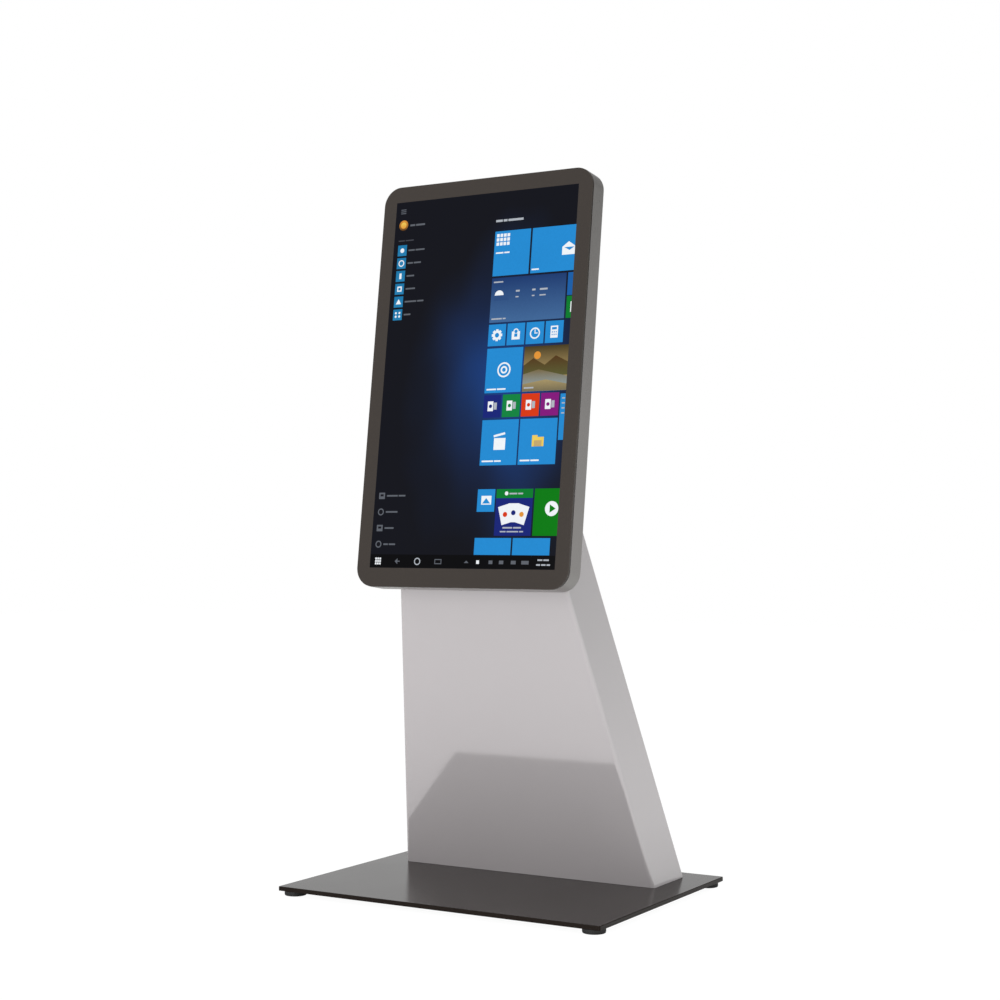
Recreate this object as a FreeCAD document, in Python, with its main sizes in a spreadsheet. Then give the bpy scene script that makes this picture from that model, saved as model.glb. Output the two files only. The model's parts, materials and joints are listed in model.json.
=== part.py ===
import FreeCAD, Part
import math
import os
import re

from FreeCAD import Placement, Rotation, Vector

# Free-standing touchscreen kiosk: a portrait display head on a leaning, tapering sheet-metal column,
# on a flat base plate with four levelling feet.
# Origin: on the floor under the middle of the base plate. +Z is up, the display faces -Y.

doc = FreeCAD.newDocument("kiosk")

# ---------------------------------------------------------------- driving dimensions (millimetres, degrees)

drivingDimensions = [
    ("plate_width", 669), ("plate_depth", 506), ("plate_thick", 8), ("plate_corner", 3), ("plate_chamfer", 0.8),
    ("pad_radius", 20), ("pad_height", 8.5), ("pad_gap", 0.5), ("foot_inset", 23), ("foot_travel", 3),
    ("stud_radius", 4), ("stud_pitch", 1.25), ("running_gap", 0.05), ("stud_depth", 6.5),
    ("column_width", 545), ("column_depth", 129), ("column_front", 81.5), ("column_lean", 16.63),
    ("column_taper", 0.168), ("column_rise", 1000), ("sheet", 2), ("fold_radius", 7), ("return_width", 20),
    ("head_width", 450.3), ("head_height", 764.8), ("head_depth", 43), ("head_corner", 36), ("head_tilt", 7.49),
    ("head_front", -112.7), ("head_rise", 931.8),
    ("glass_thick", 4), ("glass_inset", 0.5), ("tape_thick", 0.8), ("frame_wall", 2), ("lip_width", 12),
    ("lip_thick", 1.5), ("cover_thick", 1.5),
    ("display_width", 392.85), ("display_height", 698.4), ("display_lift", 2.3), ("cell_margin", 8),
    ("cell_thick", 1.6), ("chassis_thick", 12),
    ("flange_thick", 6), ("neck_thick", 5), ("neck_drop", 150), ("vesa_pitch", 200), ("cable_hole", 25),
    ("door_width", 290), ("door_height", 520), ("door_foot", 80), ("door_gap", 1.5), ("door_sheet", 1.5),
    ("door_flange", 8), ("door_swing", 110), ("hinge_gap", 3), ("hinge_lift", 3.9), ("knuckle_radius", 3.5),
    ("pin_radius", 1.8), ("lock_side", 120), ("lock_height", 340),
    ("fan_size", 80), ("fan_thick", 25), ("fan_height", 765), ("fan_bore", 37.5),
    ("anchor_radius", 5.5), ("anchor_pitch_wide", 360), ("anchor_pitch_deep", 40),
]

sheetOfSizes = doc.addObject("Spreadsheet::Sheet", "sizes")
for row, (alias, value) in enumerate(drivingDimensions, start=1):
    sheetOfSizes.set("A%d" % row, alias)
    sheetOfSizes.set("B%d" % row, str(value))
    sheetOfSizes.setAlias("B%d" % row, alias)
doc.recompute()
aliases = {alias for alias, value in drivingDimensions}
d = {alias: float(sheetOfSizes.get(alias)) for alias in aliases}


def formula(text):
    """Turn plain words such as "head_width / 2" into references to the sheet's cells."""
    return re.sub(r"[a-z_]+", lambda word: "sizes." + word[0] if word[0] in aliases else word[0], text)


def bind(thing, **sizes):
    for name, text in sizes.items():
        thing.setExpression(name, formula(str(text)))
    return thing


# ---------------------------------------------------------------- frames of reference

plateTop = d["pad_height"] + d["pad_gap"] + d["plate_thick"]
plateBottom = plateTop - d["plate_thick"]
lean = math.radians(d["column_lean"])
tilt = math.radians(d["head_tilt"])
leanSlope = math.tan(lean)
columnBack = d["column_front"] + d["column_depth"]

# X across, Y towards the back, Z up the glass; its origin is the middle of the glass's front face
headFrame = Placement(
    Vector(0, d["head_front"], plateTop + d["head_rise"]), Rotation(Vector(1, 0, 0), -d["head_tilt"]))
# X across, Y out of the column's back face, Z up its slope; its origin is the back face's lower edge
backFrame = Placement(Vector(0, columnBack, plateTop), Rotation(Vector(1, 0, 0), d["column_lean"]))
worldFrame = Placement()

# ---------------------------------------------------------------- building blocks

nodes = []
counter = [0]


def fresh(kind):
    counter[0] += 1
    return doc.addObject(kind, "piece%d" % counter[0])


def place(thing, at, turn=None, frame=worldFrame):
    local = Placement(Vector(*at), turn or Rotation())
    thing.Placement = frame.multiply(local)
    return thing


def box(length, width, height, at, frame=worldFrame, turn=None):
    """A block from its lowest corner."""
    return place(bind(fresh("Part::Box"), Length=length, Width=width, Height=height), at, turn, frame)


def centredBox(length, width, height, at, frame=worldFrame):
    """A block with at in the middle of its lowest Y face (X and Z centred)."""
    thing = bind(fresh("Part::Box"), Length=length, Width=width, Height=height)
    doc.recompute([thing])
    across, up = thing.Length.Value, thing.Height.Value
    return place(thing, (at[0] - across / 2, at[1], at[2] - up / 2), None, frame)


alongY = Rotation(Vector(1, 0, 0), -90)
alongX = Rotation(Vector(0, 1, 0), 90)


def rod(radius, height, at, frame=worldFrame, turn=None):
    """A cylinder from the middle of one end; it runs along +Z unless it is turned."""
    return place(bind(fresh("Part::Cylinder"), Radius=radius, Height=height), at, turn, frame)


def join(*things):
    whole = fresh("Part::MultiFuse")
    whole.Shapes = list(things)
    return whole


def overlap(first, second):
    whole = fresh("Part::Common")
    whole.Base = first
    whole.Tool = second
    return whole


def cut(base, *tools):
    whole = fresh("Part::Cut")
    whole.Base = base
    whole.Tool = tools[0] if len(tools) == 1 else join(*tools)
    return whole


def group(*things):
    """Separate solids kept side by side in one node."""
    whole = fresh("Part::Compound")
    whole.Links = list(things)
    return whole


def roundEdges(base, radius, wanted, kind="Part::Fillet"):
    """Round (or chamfer) the edges that wanted(edge) picks."""
    doc.recompute()
    rounded = fresh(kind)
    rounded.Base = base
    picked = [i for i, edge in enumerate(base.Shape.Edges, start=1) if wanted(edge)]
    rounded.Edges = [(i, radius, radius) for i in picked]
    return rounded


def runsAlong(direction, frame=worldFrame, slack=0.02):
    """Is a straight edge parallel to a direction of the frame?"""
    axis = frame.Rotation.multVec(Vector(*direction)).normalize()

    def test(edge):
        if edge.Curve.TypeId != "Part::GeomLine":
            return False
        run = (edge.Vertexes[-1].Point - edge.Vertexes[0].Point).normalize()
        return abs(abs(run.dot(axis)) - 1) < slack ** 2
    return test


def roundedSlab(width, thick, height, corner, at, frame):
    """A slab whose face is a rectangle with round corners, from at = the middle of its front face."""
    slab = centredBox(width, thick, height, at, frame)
    return roundEdges(slab, corner, runsAlong((0, 1, 0), frame))


def keep(thing, label):
    thing.Label = label
    nodes.append(thing)
    return thing


def keepShape(shape, label):
    """A sub-part whose shape is worked out here, from the sheet's sizes."""
    thing = doc.addObject("Part::Feature", label + "_shape")
    thing.Shape = shape
    return keep(thing, label)


def sketchPlane(body, name, role):
    sketch = body.newObject("Sketcher::SketchObject", name)
    plane = [item for item in body.Origin.OriginFeatures if item.Role == role][0]
    sketch.AttachmentSupport = [(plane, "")]
    sketch.MapMode = "FlatFace"
    return sketch


def sketchRectangle(sketch, width, height):
    """A rectangle centred on the sketch's origin, its sides bound to the sheet."""
    import Sketcher
    corners = [Vector(-10, -10), Vector(10, -10), Vector(10, 10), Vector(-10, 10)]
    for i in range(4):
        sketch.addGeometry(Part.LineSegment(corners[i], corners[(i + 1) % 4]), False)
    for i in range(4):
        sketch.addConstraint(Sketcher.Constraint("Coincident", i, 2, (i + 1) % 4, 1))
        sketch.addConstraint(Sketcher.Constraint("Horizontal" if i % 2 == 0 else "Vertical", i))
    sketch.addConstraint(Sketcher.Constraint("Symmetric", 0, 1, 1, 2, -1, 1))
    for side, value, size in ((0, 20, width), (1, 20, height)):
        kind = "DistanceX" if side == 0 else "DistanceY"
        number = sketch.addConstraint(Sketcher.Constraint(kind, side, 1, side, 2, value))
        sketch.setExpression("Constraints[%d]" % number, formula(size))
    return sketch


def sketchHoles(sketch, radius, centres):
    """Circles of one radius: the first is bound to the sheet, the others equal it."""
    import Sketcher
    for i, (x, y) in enumerate(centres):
        sketch.addGeometry(Part.Circle(Vector(x, y, 0), Vector(0, 0, 1), 3), False)
        for kind, offset in (("DistanceX", x), ("DistanceY", y)):
            ends = (-1, 1, i, 3) if offset >= 0 else (i, 3, -1, 1)
            sketch.addConstraint(Sketcher.Constraint(kind, *ends, abs(offset)))
        if i == 0:
            number = sketch.addConstraint(Sketcher.Constraint("Radius", 0, 3))
            sketch.setExpression("Constraints[%d]" % number, formula(radius))
        else:
            sketch.addConstraint(Sketcher.Constraint("Equal", 0, i))
    return sketch


def pocketHoles(body, name, radius, centres, depth=None, fromBelow=False):
    """Drill a body that stands on its XY plane; the hole must take material away."""
    before = body.Shape.Volume
    sketch = sketchHoles(sketchPlane(body, name + "_sketch", "XY_Plane"), radius, centres)
    pocket = body.newObject("PartDesign::Pocket", name)
    pocket.Profile = sketch
    if depth is None:
        pocket.Type = 1
        pocket.Midplane = True
    else:
        bind(pocket, Length=depth)
        pocket.Reversed = fromBelow
    doc.recompute()
    if body.Shape.Volume > before - 1:
        raise ValueError(name + " cuts nothing")
    return pocket


def mirrored(x, z):
    return [(x, z), (-x, z), (x, -z), (-x, -z)]


def solidPath(points, radius, share=0.45):
    """A round cable: straight runs joined by tangent arcs, each as large as its two runs allow."""
    points = [Vector(*p) for p in points]
    edges, start, length, radii = [], points[0], 0.0, []
    for before, here, after in zip(points, points[1:], points[2:]):
        back, on = (before - here), (after - here)
        turn = math.pi - back.getAngle(on)
        reach = share * min(back.Length, on.Length)
        bend = reach / math.tan(turn / 2)
        back.normalize()
        on.normalize()
        first, last = here + back * reach, here + on * reach
        inward = (back + on).normalize()
        middle = here + inward * (bend / math.cos(turn / 2) - bend)
        edges += [Part.LineSegment(start, first).toShape(), Part.Arc(first, middle, last).toShape()]
        length += (first - start).Length + bend * turn
        radii.append(bend)
        start = last
    edges.append(Part.LineSegment(start, points[-1]).toShape())
    length += (points[-1] - start).Length
    wire = Part.Wire(edges)
    direction = (points[1] - points[0]).normalize()
    ring = Part.Wire([Part.makeCircle(radius, points[0], direction)])
    tube = wire.makePipeShell([ring], True, False)
    expected = math.pi * radius ** 2 * length
    if abs(tube.Volume / expected - 1) > 0.01:
        raise ValueError("a cable's volume is off by %.1f%%" % (100 * tube.Volume / expected - 100))
    print("cable: length %.0f mm, bends %s mm" % (length, " ".join("%.0f" % r for r in radii)))
    return tube


# ---------------------------------------------------------------- base plate and feet

def makeBasePlate():
    body = doc.addObject("PartDesign::Body", "BasePlate")
    outline = sketchRectangle(sketchPlane(body, "plate_outline", "XY_Plane"), "plate_width", "plate_depth")
    pad = bind(body.newObject("PartDesign::Pad", "plate_pad"), Length="plate_thick")
    pad.Profile = outline
    doc.recompute()
    corners = ["Edge%d" % i for i, e in enumerate(pad.Shape.Edges, start=1) if runsAlong((0, 0, 1))(e)]
    rounding = bind(body.newObject("PartDesign::Fillet", "plate_corners"), Radius="plate_corner")
    rounding.Base = (pad, corners)
    doc.recompute()
    top = ["Face%d" % i for i, f in enumerate(rounding.Shape.Faces, start=1)
           if f.normalAt(0, 0).z > 0.99 and f.CenterOfMass.z > d["plate_thick"] - 0.1]
    softened = bind(body.newObject("PartDesign::Chamfer", "plate_edge"), Size="plate_chamfer")
    softened.Base = (rounding, top)
    doc.recompute()
    pocketHoles(body, "foot_threads", "stud_radius + running_gap", mirrored(footX, footY),
                "stud_depth", fromBelow=True)
    pocketHoles(body, "bolt_holes", "4.2", flangeBolts)
    pocketHoles(body, "bolt_recesses", "7.5", flangeBolts, "4.8", fromBelow=True)
    pocketHoles(body, "anchor_holes", "anchor_radius", anchorHoles)
    pocketHoles(body, "cable_entry", "cable_hole", [(0, bayMiddle)])
    body.Placement = Placement(Vector(0, 0, plateBottom), Rotation())
    return keep(body, "base_plate")


footX = d["plate_width"] / 2 - d["foot_inset"]
footY = d["plate_depth"] / 2 - d["foot_inset"]
flangeFront, flangeBack = 83.8, 206.4
bayMiddle = (flangeFront + flangeBack) / 2
flangeBolts = [(x, y) for x in (-235, 0, 235) for y in (97, 193.2)]
anchorHoles = [(x * d["anchor_pitch_wide"] / 2, bayMiddle + y * d["anchor_pitch_deep"] / 2)
               for x in (-1, 1) for y in (-1, 1)]
makeBasePlate()

padFloor, studHead = 3.0, 2.5  # the stud's round head turns in a socket in the pad
for corner, (x, y) in (("front_left", (-footX, -footY)), ("front_right", (footX, -footY)),
                       ("back_left", (-footX, footY)), ("back_right", (footX, footY))):
    disc = roundEdges(rod("pad_radius", "pad_height", (x, y, 0)), 1.2, lambda e: e.Curve.TypeId == "Part::GeomCircle")
    socket = rod("8 + running_gap", studHead + 0.1, (x, y, padFloor))
    throat = rod("stud_radius + 0.3", "10", (x, y, padFloor))
    keep(cut(disc, socket, throat), "foot_pad_" + corner)
    head = rod("8", studHead, (x, y, padFloor + 0.05))
    shank = rod("stud_radius", "pad_height + pad_gap + stud_depth - 3.4", (x, y, padFloor + 0.1))
    keep(join(head, shank), "foot_stud_" + corner)

# ---------------------------------------------------------------- column

upright = Rotation(Vector(1, 0, 0), 90)


def columnBlock(inset, low, high, outward=0):
    """The column's leaning, tapering block between two heights over the plate, inset from its faces.

    It can be moved outward through the column's back face, to cut that face alone.
    """
    wedge = fresh("Part::Wedge")
    run = inset / math.cos(lean)
    side = inset / math.cos(math.atan(d["column_taper"]))
    for suffix, level in (("", low), ("2", high)):
        half = "(column_width / 2 - %r - column_taper * (%r))" % (side, level)
        front = "(column_front + %r - tan(column_lean * 1deg) * (%r))" % (run, level)
        back = "(column_front + column_depth - %r - tan(column_lean * 1deg) * (%r))" % (run, level)
        bind(wedge, **{"X%smin" % suffix: "-1 * " + half, "X%smax" % suffix: half,
                       "Z%smin" % suffix: "-1 * " + back, "Z%smax" % suffix: "-1 * " + front})
    bind(wedge, Ymin=low, Ymax=high)
    shift = backFrame.Rotation.multVec(Vector(0, outward, 0))
    wedge.Placement = Placement(Vector(0, 0, plateTop) + shift, upright)
    return wedge


def longEdges(edge):
    """The column's four leaning edges."""
    return edge.Curve.TypeId == "Part::GeomLine" and edge.Length > 300 and abs(
        (edge.Vertexes[-1].Point - edge.Vertexes[0].Point).normalize().z) > 0.8


def headSlab(fromBack, thick, size=1600):
    """A block in the head's frame: everything between fromBack and fromBack + thick behind the glass."""
    return centredBox(size, thick, size, (0, fromBack, 0), headFrame)


rise = d["column_rise"]
aboveHead = headSlab(-600, 600 + d["head_depth"])
outerBlock = roundEdges(cut(columnBlock(0, 0, rise), aboveHead), d["fold_radius"], longEdges)
innerBlock = roundEdges(columnBlock(d["sheet"], -5, rise + 5), d["fold_radius"] - d["sheet"], longEdges)
throughBack = 1.5 * d["return_width"]
backOpening = columnBlock(d["return_width"], -40, rise + 40, throughBack)
keep(cut(outerBlock, innerBlock, backOpening), "column_shell")

# the flange stands inside the shell and is bolted from under the base plate
flangeBar = 26
ring = roundEdges(box("538", flangeBack - flangeFront, "flange_thick", (-269, flangeFront, plateTop)),
                  d["fold_radius"], runsAlong((0, 0, 1)))
ringOpening = box("440", flangeBack - flangeFront - 2 * flangeBar, 20, (-220, flangeFront + flangeBar, plateTop - 5))
threads = [rod("3.4", "20", (x, y, plateTop - 5)) for x, y in flangeBolts]
keep(cut(ring, ringOpening, *threads), "column_flange")


def makeFlangeBolts():
    bolts = []
    for x, y in flangeBolts:
        head = rod("6.5", "4.2", (x, y, plateBottom + 0.6))
        key = place(bind(fresh("Part::Prism"), Circumradius="2.9", Height="2.5"), (x, y, plateBottom + 0.5))
        key.Polygon = 6
        shank = rod("3.4", "9.2", (x, y, plateBottom + 4.8))
        bolts.append(cut(join(head, shank), key))
    return keep(group(*bolts), "flange_bolts")


makeFlangeBolts()

# square tubes just behind the front sheet, from the flange to the neck plate
spineX, spineWide, spineDeep, spineWall = 128, 40, 20, 2
spineBack = -99.5
belowFlange = box("800", "800", "200", (-400, -200, plateTop + d["flange_thick"] - 200))
beyondNeck = headSlab(-600, 600 + d["head_depth"] + d["neck_thick"])
for side, x in (("left", -spineX), ("right", spineX)):
    outer = box(spineWide, spineDeep, "900", (x - spineWide / 2, spineBack - spineDeep, 0), backFrame)
    bore = box(spineWide - 2 * spineWall, spineDeep - 2 * spineWall, "960",
               (x - spineWide / 2 + spineWall, spineBack - spineDeep + spineWall, -30), backFrame)
    keep(cut(outer, bore, belowFlange, beyondNeck), "spine_" + side)

# the neck plate fills the column's slanted top, flush with the shell's cut edge
neckBlock = roundEdges(columnBlock(d["sheet"] + 0.3, 300, rise + 5), d["fold_radius"] - d["sheet"], longEdges)
neckBlank = overlap(neckBlock, headSlab(d["head_depth"], "neck_thick"))
vesa = d["vesa_pitch"] / 2
neckMiddle = -d["neck_drop"]
vesaCentres = [(x, neckMiddle + z) for x in (-vesa, vesa) for z in (-vesa, vesa)]
neckHoles = [rod("3.2", "20", (x, d["head_depth"] - 5, z), headFrame, alongY) for x, z in vesaCentres]
neckHole = rod("cable_hole", "20", (0, d["head_depth"] - 5, neckMiddle), headFrame, alongY)
keep(cut(neckBlank, neckHole, *neckHoles), "neck_plate")

# ---------------------------------------------------------------- rear panel and service door

doorHalf = d["door_width"] / 2
doorTop = d["door_foot"] + d["door_height"]
doorMiddle = d["door_foot"] + d["door_height"] / 2
inletX, inletZ = 0, 42  # middle of the mains inlet, under the door
fanZ = d["fan_height"]
panelSeam = 0.6


def makeRearPanel():
    skin = box("800", "sheet", "1400", (-400, -d["sheet"], -100), backFrame)
    betweenReturns = columnBlock(d["return_width"] + panelSeam, -40, rise + 40, throughBack)
    column = cut(columnBlock(0, 0.5, rise), headSlab(-600, 600.5 + d["head_depth"]))
    within = overlap(overlap(skin, betweenReturns), column)
    gap = d["door_gap"]
    doorway = box("door_width + door_gap + hinge_gap", 20, "door_height + 2 * door_gap",
                  (-doorHalf - d["hinge_gap"], -10, d["door_foot"] - gap), backFrame)
    inletHole = box("47.4", 20, "27.4", (inletX - 23.7, -10, inletZ - 13.7), backFrame)
    slots = []
    for i in range(-4, 5):
        reach = math.sqrt(34 ** 2 - (i * 7.5) ** 2)
        slots.append(box(2 * reach, 20, "4", (-reach, -10, fanZ + i * 7.5 - 2), backFrame))
    screwHoles = [rod("2.1", 20, (x, -10, z), backFrame, alongY) for x, z in panelScrews + fanScrews]
    return keep(cut(within, doorway, inletHole, *slots, *screwHoles), "rear_panel")


def backHalf(z):
    """Half-width of the column's back face at a distance up its slope."""
    return d["column_width"] / 2 - d["column_taper"] * z * math.cos(lean)


panelScrews = [(s * (backHalf(z) - 31), z) for z in (30, 340, 660) for s in (-1, 1)]
fanScrews = [(x, fanZ + z) for x, z in mirrored(35.75, 35.75)]
makeRearPanel()

lugs, screws = [], []
for x, z in panelScrews:
    side = 1 if x > 0 else -1
    lug = box("26", "2", "24", (x - 13 + side * 9, -4, z - 12), backFrame)
    lugs.append(cut(lug, rod("2.1", 10, (x, -8, z), backFrame, alongY)))
    screws.append(join(rod("4", "1.8", (x, 0, z), backFrame, alongY), rod("2", "6.5", (x, -6, z), backFrame, alongY)))
keep(group(*lugs), "panel_lugs")
keep(group(*screws), "panel_screws")


def makeDoor():
    leaf = box("door_width", "door_sheet", "door_height", (-doorHalf, -d["door_sheet"], d["door_foot"]), backFrame)
    rim = box("door_width", "door_flange", "door_height",
              (-doorHalf, -d["door_sheet"] - d["door_flange"], d["door_foot"]), backFrame)
    wall = d["door_sheet"]
    hollow = box("door_width - 2 * door_sheet", "door_flange + 2", "door_height - 2 * door_sheet",
                 (-doorHalf + wall, -wall - d["door_flange"] - 2, d["door_foot"] + wall), backFrame)
    slots = []
    for i in range(9):
        for x in (-75, 15):
            slots.append(box("60", 20, "4", (x, -10, d["door_foot"] + 40 + 12 * i), backFrame))
    lockHole = rod("9.1", 20, (d["lock_side"], -10, d["lock_height"]), backFrame, alongY)
    return keep(cut(join(leaf, cut(rim, hollow)), lockHole, *slots), "service_door")


makeDoor()

hingeX = -doorHalf - 1
hingeY = d["hinge_lift"]
hingeHeights = (d["door_foot"] + 60, doorTop - 60)
knuckle, knuckleGap = 14, 0.4


def hingePiece(spans, leafSide, middle):
    """A hinge leaf with its knuckles; spans are the knuckles' heights about the hinge's middle."""
    whole = []
    for low, high in spans:
        whole.append(rod("knuckle_radius", high - low, (hingeX, hingeY, middle + low), backFrame))
        reach = 22
        left = hingeX - reach if leafSide < 0 else hingeX
        whole.append(box(reach, "1.5", high - low, (left, 0, middle + low), backFrame))
        web = box("2 * knuckle_radius", "hinge_lift", high - low,
                  (hingeX - d["knuckle_radius"], 0.5, middle + low), backFrame)
        whole.append(overlap(web, rod("knuckle_radius + 0.3", high - low, (hingeX, hingeY, middle + low), backFrame)))
    low, high = spans[0][0], spans[-1][1]
    left = hingeX - 22 if leafSide < 0 else hingeX + 6
    whole.append(box("16", "1.5", high - low, (left, 0, middle + low), backFrame))
    return join(*whole)


fixedLeaves, doorLeaves, pins = [], [], []
half = knuckle * 2
for middle in hingeHeights:
    fixedSpans = ((-half, -half + knuckle), (half - knuckle, half))
    doorSpans = ((-half + knuckle + knuckleGap, half - knuckle - knuckleGap),)
    pinHole = rod("pin_radius", 80, (hingeX, hingeY, middle - 40), backFrame)
    runningHole = rod("pin_radius + running_gap", 80, (hingeX, hingeY, middle - 40), backFrame)
    fixedLeaves.append(cut(hingePiece(fixedSpans, -1, middle), pinHole))
    doorLeaves.append(cut(hingePiece(doorSpans, 1, middle), runningHole))
    pins.append(rod("pin_radius", 2 * half + 1, (hingeX, hingeY, middle - half - 0.5), backFrame))
keep(group(*fixedLeaves), "hinge_leaves_panel")
keep(group(*doorLeaves), "hinge_leaves_door")
keep(group(*pins), "hinge_pins")

# cam lock: the barrel is fixed in the door, the plug and the cam turn in it
lockX, lockZ = d["lock_side"], d["lock_height"]
camBack, camThick = -16, 2
barrel = join(rod("11", "2", (lockX, 0, lockZ), backFrame, alongY),
              rod("9", "13.5", (lockX, -13.5, lockZ), backFrame, alongY))
keep(cut(barrel, rod("6 + running_gap", 40, (lockX, -20, lockZ), backFrame, alongY)), "lock_barrel")
nut = cut(place(bind(fresh("Part::Prism"), Circumradius="13", Height="3"), (lockX, -12.6, lockZ), alongY, backFrame),
          rod("9", 20, (lockX, -20, lockZ), backFrame, alongY))
nut.Base.Polygon = 6
keep(nut, "lock_nut")
keyway = box("1.4", "2", "6.5", (lockX - 0.7, 0.9, lockZ - 3.25), backFrame)
keep(cut(rod("6", 2.5 + 13.9, (lockX, -13.9, lockZ), backFrame, alongY), keyway), "lock_plug")
camBody = join(rod("9", camThick, (lockX, camBack, lockZ), backFrame, alongY),
               box("14", camThick, "36", (lockX - 7, camBack, lockZ), backFrame))
keep(camBody, "lock_cam")
keeperX = doorHalf + d["door_gap"] + 1
keep(box("14", "11.4", "30", (keeperX, -d["sheet"] - 11.4, lockZ - 15), backFrame), "lock_keeper")

# ---------------------------------------------------------------- what stands inside the column

plateSide, plateLow, plateHigh = 148, 120, 520
equipmentY = spineBack
equipmentHoles = [(x, z) for x in (-spineX, spineX) for z in (plateLow + 20, plateHigh - 20)]
equipmentPlate = box(2 * plateSide, "2", plateHigh - plateLow, (-plateSide, equipmentY, plateLow), backFrame)
keep(cut(equipmentPlate, *[rod("2.1", 10, (x, equipmentY - 3, z), backFrame, alongY) for x, z in equipmentHoles]),
     "equipment_plate")
keep(group(*[join(rod("4", "2.4", (x, equipmentY + 2, z), backFrame, alongY),
                  rod("2.1", "2", (x, equipmentY, z), backFrame, alongY)) for x, z in equipmentHoles]),
     "equipment_screws")
deskY = equipmentY + 2


def finnedCase(width, deep, high, at, fins):
    """A closed case with cooling grooves in its outer face."""
    case = box(width, deep, high, at, backFrame)
    pitch = width / fins
    grooves = [box(pitch / 2, 5, high + 2, (at[0] + pitch * (i + 0.25), at[1] + deep - 4, at[2] - 1), backFrame)
               for i in range(fins)]
    return cut(case, *grooves)


computerLow, computerHigh = 300, 460
supplyLow, supplyHigh = 140, 260
keep(finnedCase(170, 38, computerHigh - computerLow, (-85, deskY, computerLow), 16), "mini_pc")
keep(box("98", "30", supplyHigh - supplyLow, (-85, deskY, supplyLow), backFrame), "power_supply")

# ---------------------------------------------------------------- fan

fanHalf = d["fan_size"] / 2
fanBack = -d["sheet"]
fanFront = fanBack - d["fan_thick"]
fanBody = roundEdges(box("fan_size", "fan_thick", "fan_size", (-fanHalf, fanFront, fanZ - fanHalf), backFrame),
                     4, runsAlong((0, 1, 0), backFrame))
duct = rod("fan_bore", 60, (0, fanFront - 10, fanZ), backFrame, alongY)
fanHoles = [rod("2.1", 60, (x, fanFront - 10, z), backFrame, alongY) for x, z in fanScrews]
strut = join(box(2 * fanHalf - 2, "3", "5", (-fanHalf + 1, fanFront, fanZ - 2.5), backFrame),
             box("5", "3", 2 * fanHalf - 2, (-2.5, fanFront, fanZ - fanHalf + 1), backFrame),
             rod("14", "3", (0, fanFront, fanZ), backFrame, alongY),
             rod("2", "14", (0, fanFront, fanZ), backFrame, alongY))
keep(join(cut(fanBody, duct, *fanHoles), strut), "fan_frame")


def makeFanRotor():
    hub = cut(rod("16", "18", (0, fanFront + 3.5, fanZ), backFrame, alongY),
              rod("2 + running_gap", 12, (0, fanFront + 3, fanZ), backFrame, alongY))
    blades = []
    for i in range(7):
        blade = bind(fresh("Part::Box"), Length=21, Width=1.4, Height=17)
        spin = Rotation(Vector(0, 1, 0), i * 360 / 7)
        pitchTurn = Rotation(Vector(1, 0, 0), 40)
        local = Placement(Vector(0, fanFront + 12.5, fanZ), spin).multiply(
            Placement(Vector(15, 0, 0), pitchTurn)).multiply(Placement(Vector(0, -0.7, -8.5), Rotation()))
        blade.Placement = backFrame.multiply(local)
        blades.append(blade)
    return keep(join(hub, *blades), "fan_rotor")


makeFanRotor()
keep(group(*[join(rod("3.6", "1.8", (x, 0, z), backFrame, alongY),
                  rod("2", "12", (x, -12, z), backFrame, alongY)) for x, z in fanScrews]), "fan_screws")

# ---------------------------------------------------------------- mains inlet and its switch


def makeInlet():
    flange = box("58", "2", "36", (inletX - 29, 0, inletZ - 18), backFrame)
    case = box("47", "28", "27", (inletX - 23.5, -28, inletZ - 13.5), backFrame)
    socket = box("24", "18", "16.5", (inletX - 21, -14, inletZ - 8.25), backFrame)
    switchHole = box("14.6", "20", "20", (inletX + 6.7, -12, inletZ - 10), backFrame)
    holes = [rod("1.7", 20, (inletX + s * 26, -5, inletZ), backFrame, alongY) for s in (-1, 1)]
    return keep(cut(join(flange, case), socket, switchHole, *holes), "mains_inlet")


makeInlet()
# the contact blades stand in the socket
keep(group(*[box("1.2", "9", "4", (inletX - 9.6 + x, -14, inletZ - 2 + z), backFrame)
             for x, z in ((-7, -2), (0, 2), (7, -2))]), "inlet_blades")

rockerX, rockerY = inletX + 14, -3.0
rockerSwing = 8


def makeRocker():
    """A rocker that pivots about the X axis; its face is a shallow V, pressed in at the top at rest."""
    rockerHalf, faceHigh, rockerWide = 8.6, 5.5, 13.8
    points = [(-rockerHalf, faceHigh), (0, faceHigh - 1.6), (rockerHalf, faceHigh),
              (rockerHalf * 0.8, -4), (-rockerHalf * 0.8, -4)]
    loop = [Vector(-rockerWide / 2, y, z) for z, y in points + points[:1]]
    thing = keepShape(Part.Face(Part.makePolygon(loop)).extrude(Vector(rockerWide, 0, 0)), "power_rocker")
    return place(thing, (rockerX, rockerY, inletZ), Rotation(Vector(1, 0, 0), rockerSwing), backFrame)


makeRocker()

# ---------------------------------------------------------------- head: glass, display and frame

glassBack = d["glass_thick"]
lipFront = glassBack + d["tape_thick"]
lipBack = lipFront + d["lip_thick"]
coverFront = d["head_depth"] - d["cover_thick"]
corner = d["head_corner"]
inset = d["glass_inset"]

glass = roundedSlab("head_width - 2 * glass_inset", "glass_thick", "head_height - 2 * glass_inset",
                    corner - inset, (0, 0, 0), headFrame)
keep(glass, "cover_glass")

tapeOuter = roundedSlab("head_width - 6", "tape_thick", "head_height - 6", corner - 3, (0, glassBack, 0), headFrame)
tapeInner = roundedSlab("head_width - 2 * lip_width - 6", "10", "head_height - 2 * lip_width - 6",
                        corner - 14, (0, glassBack - 4, 0), headFrame)
keep(cut(tapeOuter, tapeInner), "glass_tape")

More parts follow.
